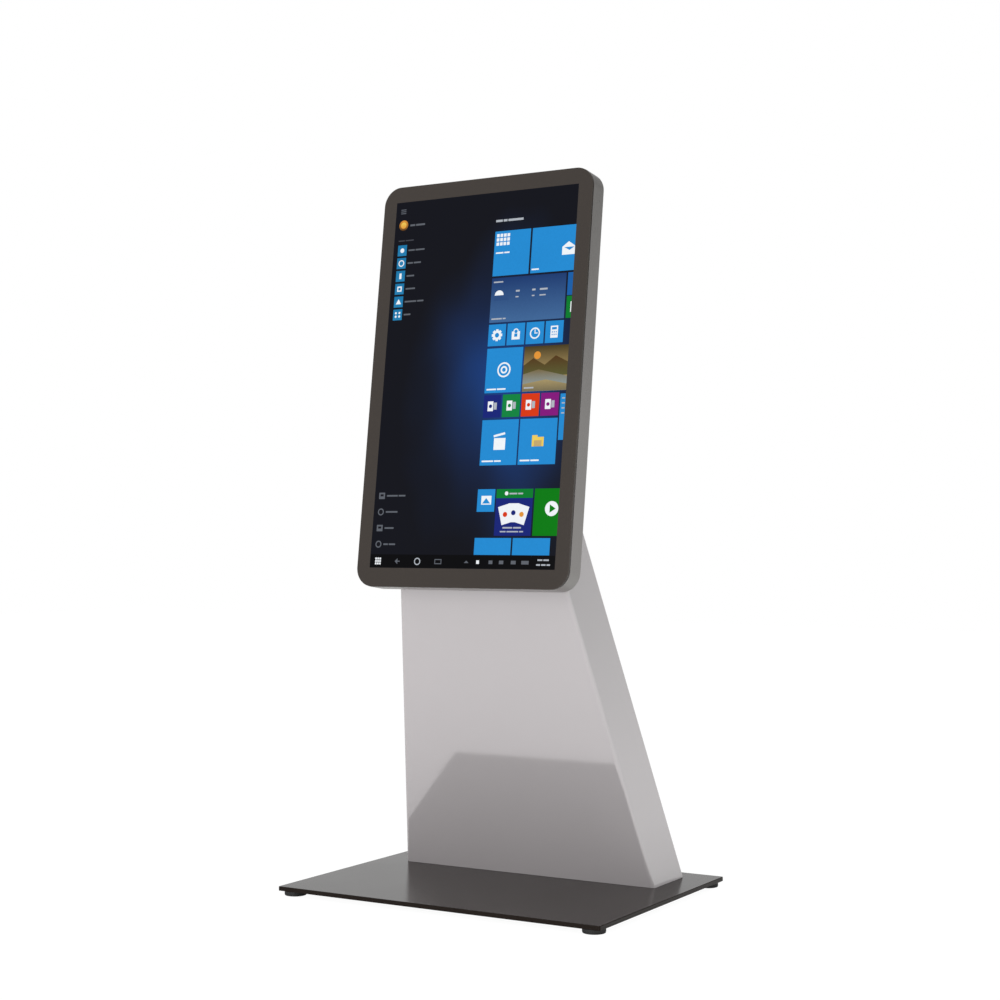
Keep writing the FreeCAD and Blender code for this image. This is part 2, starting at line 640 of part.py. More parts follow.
cellWide = "display_width + 2 * cell_margin"
cellTall = "display_height + 2 * cell_margin"
keep(centredBox(cellWide, "0.4", cellTall, (0, glassBack + 0.05, d["display_lift"]), headFrame), "touch_sensor")
cellFront = glassBack + 0.8
keep(centredBox(cellWide, "cell_thick", cellTall, (0, cellFront, d["display_lift"]), headFrame), "lcd_cell")
chassisFront = cellFront + d["cell_thick"] + 0.2
keep(centredBox(cellWide, "chassis_thick", cellTall, (0, chassisFront, d["display_lift"]), headFrame),
     "backlight_chassis")
chassisBack = chassisFront + d["chassis_thick"]


def makeHeadFrame():
    """The frame: an outer wall with a lip in front for the glass and one behind for the cover."""
    blank = roundedSlab("head_width", d["head_depth"] - lipFront, "head_height", corner, (0, lipFront, 0), headFrame)
    soft = roundEdges(blank, 1.2, lambda edge: outerRim(edge))
    room = roundedSlab("head_width - 2 * frame_wall", coverFront - 1.5 - lipBack, "head_height - 2 * frame_wall",
                       corner - d["frame_wall"], (0, lipBack, 0), headFrame)
    frontGap = roundedSlab("head_width - 2 * lip_width - 4", "60", "head_height - 2 * lip_width - 4",
                           corner - 14, (0, lipFront - 10, 0), headFrame)
    coverSeat = roundedSlab("head_width - 2 * frame_wall", "10", "head_height - 2 * frame_wall",
                            corner - d["frame_wall"], (0, coverFront, 0), headFrame)
    holes = [rod("1.6", 20, (x, coverFront - 8, z), headFrame, alongY) for x, z in coverScrews]
    return keep(cut(soft, room, frontGap, coverSeat, *holes), "head_frame")


def outerRim(edge):
    """Edges of the frame's rear outline."""
    local = headFrame.inverse().multVec(edge.CenterOfMass)
    return abs(local.y - d["head_depth"]) < 0.01


rimX, rimZ = d["head_width"] / 2 - 9, d["head_height"] / 2 - 9
coverScrews = [(s * rimX, z) for z in (-300, -100, 100, 300) for s in (-1, 1)] + \
              [(x, s * rimZ) for x in (-110, 110) for s in (-1, 1)]
makeHeadFrame()


def makeRearCover():
    cover = roundedSlab("head_width - 2 * frame_wall - 0.8", "cover_thick", "head_height - 2 * frame_wall - 0.8",
                        corner - d["frame_wall"] - 0.4, (0, coverFront, 0), headFrame)
    slots = []
    for row in range(6):
        for x in (-130, -65, 0, 65, 130):
            slots.append(box("50", 20, "4", (x - 25, coverFront - 10, 270 + 11 * row), headFrame))
            if x:
                slots.append(box("50", 20, "4", (x - 25, coverFront - 10, -355 + 8 * row), headFrame))
    holes = [rod("1.6", 20, (x, coverFront - 8, z), headFrame, alongY) for x, z in coverScrews]
    holes += [rod("3.2", 20, (x, coverFront - 8, z), headFrame, alongY) for x, z in vesaCentres]
    return keep(cut(cover, rod("cable_hole", 20, (0, coverFront - 8, neckMiddle), headFrame, alongY),
                    *slots, *holes), "rear_cover")


makeRearCover()
keep(group(*[join(rod("3", "1.4", (x, d["head_depth"], z), headFrame, alongY),
                  rod("1.6", "6", (x, d["head_depth"] - 6, z), headFrame, alongY)) for x, z in coverScrews]),
     "rear_cover_screws")

# ---------------------------------------------------------------- how the display hangs on the neck

railDeep, railWide, railHigh, railWall = 10, 24, 740, 2
railX = 100
rails = []
for s in (-1, 1):
    rail = box(railWide, railDeep, railHigh, (s * railX - railWide / 2, chassisBack, -railHigh / 2), headFrame)
    channel = box(railWide - 2 * railWall, railDeep, railHigh + 2,
                  (s * railX - railWide / 2 + railWall, chassisBack - railWall, -railHigh / 2 - 1), headFrame)
    holes = [rod("3.2", 40, (x, chassisBack - 5, z), headFrame, alongY) for x, z in vesaCentres]
    rails.append(cut(rail, channel, *holes))
keep(group(*rails), "mount_rails")
plateY, mountThick = chassisBack + railDeep, 4
mountBlank = roundedSlab(260, mountThick, 250, 8, (0, plateY, neckMiddle), headFrame)
keep(cut(mountBlank, rod("cable_hole", 20, (0, plateY - 8, neckMiddle), headFrame, alongY),
         *[rod("3", 20, (x, plateY - 8, z), headFrame, alongY) for x, z in vesaCentres]), "head_mount_plate")
spacerY = plateY + mountThick
spacerLong = coverFront - spacerY
keep(group(*[cut(rod("7", spacerLong, (x, spacerY, z), headFrame, alongY),
                 rod("3.1", 40, (x, spacerY - 5, z), headFrame, alongY)) for x, z in vesaCentres]), "mount_spacers")


def makeMountBolts():
    bolts = []
    seat = d["head_depth"] + d["neck_thick"]
    for x, z in vesaCentres:
        head = place(bind(fresh("Part::Prism"), Circumradius="5.7", Height="4"), (x, seat, z), alongY, headFrame)
        head.Polygon = 6
        bolts.append(join(head, rod("3", seat - plateY + 1, (x, plateY - 1, z), headFrame, alongY)))
    return keep(group(*bolts), "mount_bolts")


makeMountBolts()

# boards on the back of the backlight chassis, between the rails
standoffLong, boardThick = 5, 1.6
boardY = chassisBack + standoffLong


def boardSpots(x, z, wide, high):
    return [(x + sx * (wide / 2 - 5), z + sz * (high / 2 - 5)) for sx in (-1, 1) for sz in (-1, 1)]


driverPlace, touchPlace = (0, 110, 150, 90), (0, 250, 64, 44)


def makeBoard(label, spot, blocks):
    """A printed board with its parts standing on it; each block is x, z, wide, high, proud of the board."""
    x, z, wide, high = spot
    board = box(wide, boardThick, high, (x - wide / 2, boardY, z - high / 2), headFrame)
    parts = [box(w, proud + 0.2, tall, (x + bx - w / 2, boardY + boardThick - 0.2, z + bz - tall / 2), headFrame)
             for bx, bz, w, tall, proud in blocks]
    holes = [rod("1.6", 20, (hx, boardY - 8, hz), headFrame, alongY) for hx, hz in boardSpots(*spot)]
    return keep(cut(join(board, *parts), *holes), label)


driverParts = [(0, 5, 26, 26, 6), (-46, 18, 16, 12, 2), (44, 20, 12, 12, 4), (44, -2, 12, 12, 4),
               (-30, -38, 18, 14, 8), (30, -38, 18, 14, 8), (-46, -6, 10, 22, 3)]
makeBoard("driver_board", driverPlace, driverParts)
makeBoard("touch_board", touchPlace, [(0, 0, 12, 12, 1.6), (-20, 2, 8, 14, 4), (0, 17, 34, 5, 2.4)])
allSpots = boardSpots(*driverPlace) + boardSpots(*touchPlace)
keep(group(*[cut(rod("3", standoffLong, (x, chassisBack, z), headFrame, alongY),
                 rod("1.5", 10, (x, chassisBack + 1, z), headFrame, alongY)) for x, z in allSpots]),
     "board_standoffs")
keep(group(*[join(rod("2.8", "1.6", (x, boardY + boardThick, z), headFrame, alongY),
                  rod("1.5", "5", (x, boardY + boardThick - 4.5, z), headFrame, alongY)) for x, z in allSpots]),
     "board_screws")

# the flexible lead from the touch film, over the chassis's top edge and down to its board
ribbonTop = d["display_height"] / 2 + d["cell_margin"] + d["display_lift"]
ribbonFront, ribbonBack = glassBack + 0.05, boardY + boardThick + 1.2
socketTop = touchPlace[1] + 17 + 2.5
keep(join(box("30", "0.3", "3", (-15, ribbonFront, ribbonTop), headFrame),
          box("30", ribbonBack - ribbonFront + 0.3, "0.3", (-15, ribbonFront, ribbonTop + 2.7), headFrame),
          box("30", "0.3", ribbonTop + 3 - socketTop, (-15, ribbonBack, socketTop), headFrame)), "touch_ribbon")

# rubber grommet in the cable hole through the neck plate and the rear cover
grommetBore = 19
neckBack = d["head_depth"] + d["neck_thick"]
keep(cut(join(rod("cable_hole - 0.05", neckBack - coverFront + 3, (0, coverFront - 1.5, neckMiddle), headFrame, alongY),
              rod("29", "1.5", (0, coverFront - 1.5, neckMiddle), headFrame, alongY),
              rod("29", "1.5", (0, neckBack, neckMiddle), headFrame, alongY)),
         rod(grommetBore, 60, (0, coverFront - 20, neckMiddle), headFrame, alongY)), "cable_grommet")

# ---------------------------------------------------------------- held cables

cableRadius = 3
outsideNeck = 71  # where a cable turns into the neck, behind the glass
inHead = chassisBack + 5


def inBack(*point):
    return backFrame.multVec(Vector(*point))


def inHeadFrame(*point):
    return headFrame.multVec(Vector(*point))


def throughNeck(x, boardX):
    """The last stretch of both display leads: through the neck and up to a socket of the driver board."""
    return [inHeadFrame(x, outsideNeck, neckMiddle), inHeadFrame(x, inHead, neckMiddle),
            inHeadFrame(x, inHead, -84), inHeadFrame(boardX * 0.6, inHead, -18),
            inHeadFrame(boardX, boardY + 6, 26), inHeadFrame(boardX, boardY + 6, 65)]


displayRoute = [inBack(-30, -78, computerHigh), inBack(-30, -78, 500), inBack(-26, -70, 552), inBack(-19, -58, 612),
                inBack(-13, -46, 676), inBack(-9, -40, 745)] + throughNeck(-9, -30)
powerRoute = [inBack(13, -82, 200), inBack(48, -82, 200), inBack(92, -83, 226), inBack(105, -85, 286),
              inBack(106, -85, 360), inBack(104, -82, 434), inBack(92, -74, 505), inBack(66, -60, 575),
              inBack(36, -46, 645), inBack(14, -40, 730)] + throughNeck(9, 30)
inletRoute = [inBack(-12, -28, inletZ), inBack(-12, -62, inletZ), inBack(-36, -82, 82), inBack(-36, -82, supplyLow)]
keepShape(solidPath(displayRoute, cableRadius), "display_cable")
keepShape(solidPath(powerRoute, cableRadius), "power_cable")
keepShape(solidPath(inletRoute, cableRadius), "inlet_lead")


def saddle(x, y, z):
    """A clip that stands on the equipment plate and goes round a cable."""
    block = box("12", y + cableRadius + 2.5 - deskY, "10", (x - 6, deskY, z - 5), backFrame)
    return cut(block, rod(cableRadius + 0.4, 40, (x, y, z - 20), backFrame))


keep(group(saddle(-30, -78, 470), saddle(105.6, -85, 335)), "cable_clips")

# ---------------------------------------------------------------- check every sub-part and write it

doc.recompute()
for thing in doc.Objects:
    if "Invalid" in thing.State or "Error" in thing.State:
        raise ValueError("%s (%s) failed: %s" % (thing.Name, thing.Label, thing.State))
os.makedirs("parts", exist_ok=True)
for thing in nodes:
    shape = thing.Shape
    if shape.isNull() or not shape.isValid() or not shape.Solids:
        raise ValueError(thing.Label + " has no valid shape")
    shape.exportStep("parts/%s.step" % thing.Label)
print("%d sub-parts written" % len(nodes))
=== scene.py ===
import json
import math

import bmesh
import bpy
from mathutils import Matrix, Vector

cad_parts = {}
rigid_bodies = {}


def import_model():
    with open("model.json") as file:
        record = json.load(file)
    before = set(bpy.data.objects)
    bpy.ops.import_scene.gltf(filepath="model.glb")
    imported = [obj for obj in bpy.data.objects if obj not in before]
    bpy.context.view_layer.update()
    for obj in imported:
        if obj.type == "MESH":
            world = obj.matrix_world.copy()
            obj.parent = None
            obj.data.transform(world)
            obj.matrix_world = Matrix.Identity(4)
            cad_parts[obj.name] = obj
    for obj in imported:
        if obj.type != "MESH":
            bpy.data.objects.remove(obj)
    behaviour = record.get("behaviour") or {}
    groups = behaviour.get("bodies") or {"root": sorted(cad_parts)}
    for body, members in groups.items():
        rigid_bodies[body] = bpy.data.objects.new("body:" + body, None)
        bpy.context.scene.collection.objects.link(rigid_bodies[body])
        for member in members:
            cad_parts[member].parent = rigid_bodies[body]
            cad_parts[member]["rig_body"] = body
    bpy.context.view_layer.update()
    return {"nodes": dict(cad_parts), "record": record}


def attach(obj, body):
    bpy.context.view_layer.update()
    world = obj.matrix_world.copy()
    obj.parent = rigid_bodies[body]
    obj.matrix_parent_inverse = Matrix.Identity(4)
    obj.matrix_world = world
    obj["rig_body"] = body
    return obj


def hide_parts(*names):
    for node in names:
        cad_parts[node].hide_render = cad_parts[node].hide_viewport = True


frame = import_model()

cadNodes = frame["nodes"]
scene = bpy.context.scene
mm = 0.001
slotOf = {part["node"]: part["material_slot"] for part in frame["record"]["subparts"]}
bodyOf = {name: cadNodes[name]["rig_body"] for name in cadNodes}


def leaningFrame(at, degrees):
    return Matrix.Translation(Vector(at) * mm) @ Matrix.Rotation(math.radians(degrees), 4, "X")


# the same two working frames as the metalwork: one on the glass, one on the column's back face
headFrame = leaningFrame((0, -112.7, 948.8), -7.49)
backFrame = leaningFrame((0, 210.5, 17), 16.63)


def linear(colour):
    return tuple(((c / 255 + 0.055) / 1.055) ** 2.4 if c > 10 else c / 255 / 12.92 for c in colour)


def wire(tree, kind, inputs=None, **settings):
    node = tree.nodes.new(kind)
    for name, value in settings.items():
        setattr(node, name, value)
    for key, value in (inputs or {}).items():
        socket = node.inputs[key]
        if isinstance(value, bpy.types.NodeSocket):
            tree.links.new(value, socket)
        else:
            socket.default_value = value
    return node


def maths(tree, operation, first, second=0.0, clamp=False):
    node = wire(tree, "ShaderNodeMath", {0: first, 1: second}, operation=operation, use_clamp=clamp)
    return node.outputs[0]


def vectorMaths(tree, operation, first, second=(0, 0, 0), output=0):
    return wire(tree, "ShaderNodeVectorMath", {0: first, 1: second}, operation=operation).outputs[output]


def remap(tree, value, fromMin, fromMax, toMin, toMax, **settings):
    return wire(tree, "ShaderNodeMapRange", {
        "Value": value, "From Min": fromMin, "From Max": fromMax, "To Min": toMin, "To Max": toMax},
        **settings).outputs[0]


def noise(tree, place, scale, detail, rough=0.5):
    return wire(tree, "ShaderNodeTexNoise", {
        "Vector": place, "Scale": scale, "Detail": detail, "Roughness": rough}).outputs["Fac"]


def objectPlace(tree):
    return wire(tree, "ShaderNodeTexCoord").outputs["Object"]


def newGroup(name, inputs, outputs, kind="ShaderNodeTree"):
    tree = bpy.data.node_groups.new(name, kind)
    for label, socketKind, value in inputs:
        socket = tree.interface.new_socket(label, in_out="INPUT", socket_type=socketKind)
        if value is not None:
            socket.default_value = value
    for label, socketKind in outputs:
        tree.interface.new_socket(label, in_out="OUTPUT", socket_type=socketKind)
    return tree, tree.nodes.new("NodeGroupInput").outputs, tree.nodes.new("NodeGroupOutput").inputs


def makeEdgeWear():
    # rims catch a little wear, broken up so that it is not an even line
    tree, given, result = newGroup(
        "edgeWear", [("Radius", "NodeSocketFloat", 0.001), ("Breakup", "NodeSocketFloat", 300.0)],
        [("Mask", "NodeSocketFloat")])
    rounded = wire(tree, "ShaderNodeBevel", {"Radius": given["Radius"]}, samples=4)
    surface = wire(tree, "ShaderNodeNewGeometry")
    facing = vectorMaths(tree, "DOT_PRODUCT", rounded.outputs["Normal"], surface.outputs["Normal"], "Value")
    rim = remap(tree, facing, 0.995, 0.86, 0, 1)
    patches = noise(tree, objectPlace(tree), given["Breakup"], 3.0)
    strength = remap(tree, patches, 0.35, 0.65, 0.25, 1)
    tree.links.new(maths(tree, "MULTIPLY", rim, strength, True), result["Mask"])
    return tree


def makeFineGrain():
    # fine grain over broad, slow clouds
    tree, given, result = newGroup(
        "fineGrain", [("Scale", "NodeSocketFloat", 900.0), ("Stretch", "NodeSocketVector", (1, 1, 1))],
        [("Value", "NodeSocketFloat"), ("Height", "NodeSocketFloat")])
    fineShare, broadShare, broadScale = 0.6, 0.4, 9.0
    place = objectPlace(tree)
    fine = noise(tree, vectorMaths(tree, "MULTIPLY", place, given["Stretch"]), given["Scale"], 2.0, 0.6)
    clouds = maths(tree, "MULTIPLY", noise(tree, place, broadScale, 3.0), broadShare)
    tree.links.new(maths(tree, "ADD", maths(tree, "MULTIPLY", fine, fineShare), clouds), result["Value"])
    tree.links.new(fine, result["Height"])
    return tree


def makeDustFilm():
    # dust settles in patches on what faces up
    tree, given, result = newGroup(
        "dustFilm", [("Amount", "NodeSocketFloat", 0.1)], [("Mask", "NodeSocketFloat")])
    surface = wire(tree, "ShaderNodeNewGeometry")
    parts = wire(tree, "ShaderNodeSeparateXYZ", {0: surface.outputs["Normal"]})
    upward = remap(tree, parts.outputs["Z"], 0.3, 1, 0, 1)
    thick = remap(tree, noise(tree, objectPlace(tree), 35.0, 6.0, 0.75), 0.4, 0.7, 0.2, 1)
    covered = maths(tree, "MULTIPLY", upward, thick)
    tree.links.new(maths(tree, "MULTIPLY", covered, given["Amount"], True), result["Mask"])
    return tree


studio = {
    "cameraAt": (1.7464, -2.9585, 0.6761),
    "cameraTurn": (90.914, 0, 30.673),
    "lens": 65.85,
    "sensor": 36,
    "sees": (0.05, 60),
    "roomLight": 0.74,
    # each patch of the room: towards, cosine at its rim, cosine where it is full, strength
    "roomPatches": (((0.5, 0.8, 0.36), 0.93, 0.99, 0.2), ((0, 0.83, 0.56), 0.91, 0.985, 0.3),
                    ((-0.68, 0.72, 0.15), 0.85, 0.98, 0.96)),
    "backdrop": 1.0,
    "floorHalf": 9,
    "floorTone": (0.84, 0.88),
    "floorRough": 0.9,
    "floorGlow": 0.08,
    "floorWhite": 0.9,
    "floorWhiteStrength": 1.06,
    "aimAt": (0, 0, 0.6),
    # name, place, width, power, colour
    "softboxes": (
        ("frontSoftbox", (-0.7, -4.2, 1.0), 2.2, 50, (1, 1, 1)),
        ("sideSoftbox", (1.7, 0.1, 1.6), 0.9, 4.5, (0.86, 1, 0.94)),
    ),
}


def placeCamera():
    cameraData = bpy.data.cameras.new("camera")
    cameraData.lens, cameraData.sensor_width = studio["lens"], studio["sensor"]
    cameraData.clip_start, cameraData.clip_end = studio["sees"]
    camera = bpy.data.objects.new("camera", cameraData)
    camera.location = studio["cameraAt"]
    camera.rotation_euler = [math.radians(a) for a in studio["cameraTurn"]]
    scene.collection.objects.link(camera)
    scene.camera = camera
    scene.view_settings.view_transform = "Standard"


def lightRoom():
    # a clean white backdrop, and a dimmer room to light and mirror in the kiosk
    world = bpy.data.worlds.new("room")
    scene.world = world
    world.use_nodes = True
    tree = world.node_tree
    background = tree.nodes["Background"]
    background.inputs["Color"].default_value = (1, 1, 1, 1)
    sky = wire(tree, "ShaderNodeTexCoord")
    room = studio["roomLight"]
    for direction, rim, full, strength in studio["roomPatches"]:
        towards = vectorMaths(tree, "DOT_PRODUCT", sky.outputs["Generated"], Vector(direction).normalized(),
                              "Value")
        room = remap(tree, towards, rim, full, room, strength, interpolation_type="SMOOTHSTEP")
    path = wire(tree, "ShaderNodeLightPath")
    seen = remap(tree, path.outputs["Is Camera Ray"], 0, 1, room, studio["backdrop"])
    tree.links.new(seen, background.inputs["Strength"])


def setUpStudio():
    placeCamera()
    lightRoom()
    floorMesh = bpy.data.meshes.new("floor")
    half = studio["floorHalf"]
    corners = [(-half, -half, 0), (half, -half, 0), (half, half, 0), (-half, half, 0)]
    floorMesh.from_pydata(corners, [], [(0, 1, 2, 3)])
    floor = bpy.data.objects.new("floor", floorMesh)
    scene.collection.objects.link(floor)
    floor.data.materials.append(makeFloorMaterial())
    for name, at, size, power, colour in studio["softboxes"]:
        light = bpy.data.lights.new(name, "AREA")
        light.shape, light.size, light.energy, light.color = "SQUARE", size, power, colour
        softbox = bpy.data.objects.new(name, light)
        softbox.location = at
        softbox.rotation_euler = (Vector(studio["aimAt"]) - Vector(at)).to_track_quat("-Z", "Y").to_euler()
        scene.collection.objects.link(softbox)


def newMaterial(name, values):
    material = bpy.data.materials.new(name)
    material.use_nodes = True
    shader = material.node_tree.nodes["Principled BSDF"]
    for socket, value in values.items():
        shader.inputs[socket].default_value = value
    return material, material.node_tree, shader


def makeFloorMaterial():
    floor, tree, shader = newMaterial("paleFloor", {
        "Roughness": studio["floorRough"], "Specular IOR Level": 0.0, "Emission Color": (1, 1, 1, 1),
        "Emission Strength": studio["floorGlow"]})
    tone = remap(tree, noise(tree, objectPlace(tree), 2.0, 4.0), 0, 1, *studio["floorTone"])
    tree.links.new(tone, shader.inputs["Base Color"])
    white = wire(tree, "ShaderNodeEmission", {
        "Color": (1, 1, 1, 1), "Strength": studio["floorWhiteStrength"]})
    path = wire(tree, "ShaderNodeLightPath")
    share = maths(tree, "MULTIPLY", path.outputs["Is Camera Ray"], studio["floorWhite"])
    mixed = wire(tree, "ShaderNodeMixShader", {0: share, 1: shader.outputs[0], 2: white.outputs[0]})
    tree.links.new(mixed.outputs[0], tree.nodes["Material Output"].inputs["Surface"])
    return floor


edgeWear, fineGrain, dustFilm = makeEdgeWear(), makeFineGrain(), makeDustFilm()
speckleRange = (0.3, 0.7)
dustLook = {"colour": (0.45, 0.43, 0.4, 1), "roughening": 0.5}
finishRules = {"smoothest": 0.02, "reliefDepth": 0.2 * mm}


def grouped(tree, group, **inputs):
    node = wire(tree, "ShaderNodeGroup", node_tree=group)
    for name, value in inputs.items():
        node.inputs[name[0].upper() + name[1:]].default_value = value
    return node


def blended(tree, share, first, second):
    return wire(tree, "ShaderNodeMix", {0: share, 6: first, 7: second}, data_type="RGBA").outputs[2]


def makeFinish(name, colour, rough, metal=0.0, grain=900, stretch=(1, 1, 1), bump=0.05, tone=0.06,
               roughTone=0.05, wear=0.0, wearRadius=0.8, wearColour=(0.7, 0.7, 0.7), dust=0.0, ior=1.5,
               shine=0.0):
    finish, tree, shader = newMaterial(name, {"Metallic": metal, "IOR": ior, "Emission Strength": shine})
    if shine:
        shader.inputs["Emission Color"].default_value = (*colour, 1)
    speckle = grouped(tree, fineGrain, scale=float(grain), stretch=stretch)
    value = speckle.outputs["Value"]
    shade = remap(tree, value, *speckleRange, 1 - tone, 1 + tone)
    surfaceColour = vectorMaths(tree, "MULTIPLY", colour, shade)
    surfaceRough = remap(tree, value, *speckleRange, max(finishRules["smoothest"], rough - roughTone),
                         rough + roughTone)
    if wear:
        worn = grouped(tree, edgeWear, radius=wearRadius * mm)
        share = maths(tree, "MULTIPLY", worn.outputs["Mask"], wear)
        surfaceColour = blended(tree, share, surfaceColour, (*wearColour, 1))
    if dust:
        film = grouped(tree, dustFilm, amount=dust)
        surfaceColour = blended(tree, film.outputs["Mask"], surfaceColour, dustLook["colour"])
        dull = maths(tree, "MULTIPLY", film.outputs["Mask"], dustLook["roughening"])
        surfaceRough = maths(tree, "ADD", surfaceRough, dull, True)
    tree.links.new(surfaceColour, shader.inputs["Base Color"])
    tree.links.new(surfaceRough, shader.inputs["Roughness"])
    if bump:
        relief = wire(tree, "ShaderNodeBump", {
            "Strength": bump, "Distance": finishRules["reliefDepth"], "Height": speckle.outputs["Height"]})
        tree.links.new(relief.outputs[0], shader.inputs["Normal"])
    return finish


finishes = {
    "column_paint": makeFinish("silverLacquer", (0.635, 0.6, 0.61), 0.08, metal=0.28, grain=1400,
        bump=0.006, tone=0.012, roughTone=0.01, wear=0.05, wearColour=(0.75, 0.74, 0.74), dust=0.05),
    "base_paint": makeFinish("graphiteLacquer", (0.012, 0.007, 0.0045), 0.19, grain=1100, bump=0.03,
        tone=0.1, roughTone=0.03, wear=0.12, wearColour=(0.05, 0.05, 0.05), dust=0.01, ior=1.25),
    "frame_metal": makeFinish("satinAluminium", (0.322, 0.308, 0.297), 0.3, metal=0.85, grain=260,
        stretch=(8, 8, 0.6), tone=0.05, wear=0.3, wearColour=(0.6, 0.6, 0.6)),
    "front_glass": makeFinish("inkedGlass", (0.033, 0.024, 0.018), 0.06, grain=300, bump=0.0,
        tone=0.03, roughTone=0.015),
    "cover_paint": makeFinish("coverPowder", (0.17, 0.17, 0.175), 0.45, grain=1600, bump=0.16,
        wear=0.3, wearColour=(0.4, 0.4, 0.4), dust=0.05),
    "foot_plastic": makeFinish("blackNylon", (0.012, 0.012, 0.012), 0.5, grain=1500, bump=0.12, tone=0.2),
    "zinc_steel": makeFinish("zincSheet", (0.5, 0.51, 0.52), 0.34, metal=0.9, grain=110, bump=0.02,
        tone=0.09, roughTone=0.08, wear=0.3),
    "screw_steel": makeFinish("brightZinc", (0.34, 0.34, 0.33), 0.26, metal=1.0, tone=0.08, wear=0.3,
        wearRadius=0.3),
    "hinge_steel": makeFinish("satinSteel", (0.2, 0.2, 0.195), 0.3, metal=1.0, grain=500,
        stretch=(1, 1, 12), bump=0.08, tone=0.1, wear=0.4, wearRadius=0.4, wearColour=(0.5, 0.5, 0.5)),
    "lock_chrome": makeFinish("chrome", (0.5, 0.5, 0.51), 0.08, metal=1.0, grain=800, bump=0.01,
        tone=0.03, roughTone=0.03, wear=0.2, wearRadius=0.3),
    "case_metal": makeFinish("anodisedCase", (0.06, 0.062, 0.068), 0.38, metal=0.7, grain=1200,
        bump=0.06, tone=0.1, wear=0.5, wearRadius=0.5, wearColour=(0.35, 0.35, 0.36)),
    "black_plastic": makeFinish("mouldedPlastic", (0.015, 0.015, 0.016), 0.42, grain=1500, bump=0.12,
        tone=0.15, wear=0.25, wearRadius=0.4, wearColour=(0.06, 0.06, 0.06)),
    "blade_brass": makeFinish("platedBrass", (0.72, 0.62, 0.42), 0.2, metal=1.0, bump=0.03),
    "display_panel": makeFinish("panelBlack", (0.014, 0.014, 0.016), 0.3, grain=700, bump=0.01, tone=0.08),
    "touch_film": makeFinish("touchFilm", (0.1, 0.11, 0.12), 0.15, grain=400, bump=0.01, tone=0.05),
    "tape_foam": makeFinish("foamTape", (0.02, 0.02, 0.02), 0.85, grain=1800, bump=0.3, tone=0.25),
    "circuit_board": makeFinish("solderMask", (0.01, 0.09, 0.04), 0.3, grain=600, bump=0.1, tone=0.3),
    "cable_rubber": makeFinish("cableRubber", (0.016, 0.016, 0.017), 0.55, bump=0.15, tone=0.2),
}
print("finishes ready:", len(finishes))


def newPiece(name, bm, body, slot, smooth=40, place=None, materials=()):
    if place is not None:
        bm.transform(place @ Matrix.Scale(mm, 4))
    bmesh.ops.recalc_face_normals(bm, faces=bm.faces)
    for face in bm.faces:
        face.smooth = True
    for edge in bm.edges:
        if len(edge.link_faces) == 2 and edge.calc_face_angle(0) > math.radians(smooth):
            edge.smooth = False
    mesh = bpy.data.meshes.new(name)
    bm.to_mesh(mesh)
    bm.free()
    piece = bpy.data.objects.new(name, mesh)
    scene.collection.objects.link(piece)
    for material in materials or [finishes[slot]]:
        mesh.materials.append(material)
    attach(piece, body)
    return piece


softening = {"angle": 32, "segments": 2, "weight": 80, "joinWithin": 5e-6, "flatWithin": 0.5}


def soften(piece, edge, angle=softening["angle"]):
    bevel = piece.modifiers.new("softEdges", "BEVEL")
    bevel.width, bevel.segments, bevel.limit_method = edge * mm, softening["segments"], "ANGLE"
    bevel.angle_limit = math.radians(angle)
    bevel.use_clamp_overlap = False
    flatten(piece)


def flatten(piece):
    weighted = piece.modifiers.new("evenShading", "WEIGHTED_NORMAL")
    weighted.keep_sharp, weighted.weight = True, softening["weight"]


def refine(node, edge):
    # the node's own shape, merged, with its edges softened by this many millimetres
    bm = bmesh.new()
    bm.from_mesh(cadNodes[node].data)
    bmesh.ops.remove_doubles(bm, verts=bm.verts, dist=softening["joinWithin"])
    flat = math.radians(softening["flatWithin"])
    bmesh.ops.dissolve_limit(bm, angle_limit=flat, verts=bm.verts, edges=bm.edges)
    for layer in list(bm.loops.layers.uv):
        bm.loops.layers.uv.remove(layer)
    for face in bm.faces:
        face.material_index = 0
    slot = slotOf[node]
    piece = newPiece(nameFor(node), bm, bodyOf[node], slot, softening["angle"])
    if edge:
        soften(piece, edge)
    else:
        flatten(piece)
    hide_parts(node)


def loft(bm, loops, ends=True, ring=False):
    # faces between closed loops of points, with caps, or joined last to first
    rows = [[bm.verts.new(point) for point in loop] for loop in loops]
    pairs = list(zip(rows, rows[1:])) + ([(rows[-1], rows[0])] if ring else [])
    count = len(rows[0])
    for low, high in pairs:
        for i in range(count):
            j = (i + 1) % count
            bm.faces.new((low[i], low[j], high[j], high[i]))
    if ends and not ring:
        bm.faces.new(rows[0][::-1])
        bm.faces.new(rows[-1])
    return rows


def circlePoints(radius, steps):
    turns = [2 * math.pi * i / steps for i in range(steps)]
    return [(radius * math.cos(a), radius * math.sin(a)) for a in turns]


head = {
    "width": 450.3, "height": 764.8, "depth": 43, "corner": 36, "cornerSteps": 16, "tightest": 0.3,
    "glassInset": 0.5, "glassThick": 4, "glassEdge": 0.6, "glassBackEdge": 0.3,
    "wall": 2, "lip": 14, "lipFront": 4.8, "lipBack": 6.3, "coverFront": 41.5, "seatThick": 1.5,
    "backRound": 1.2, "rim": 0.25, "rimSoft": 0.07,
    "displayWidth": 392.85, "displayHeight": 698.4, "displayLift": 2.3, "displayCorner": 0.8,
}
quarterTurn = [math.radians(t) for t in range(0, 91, 15)]


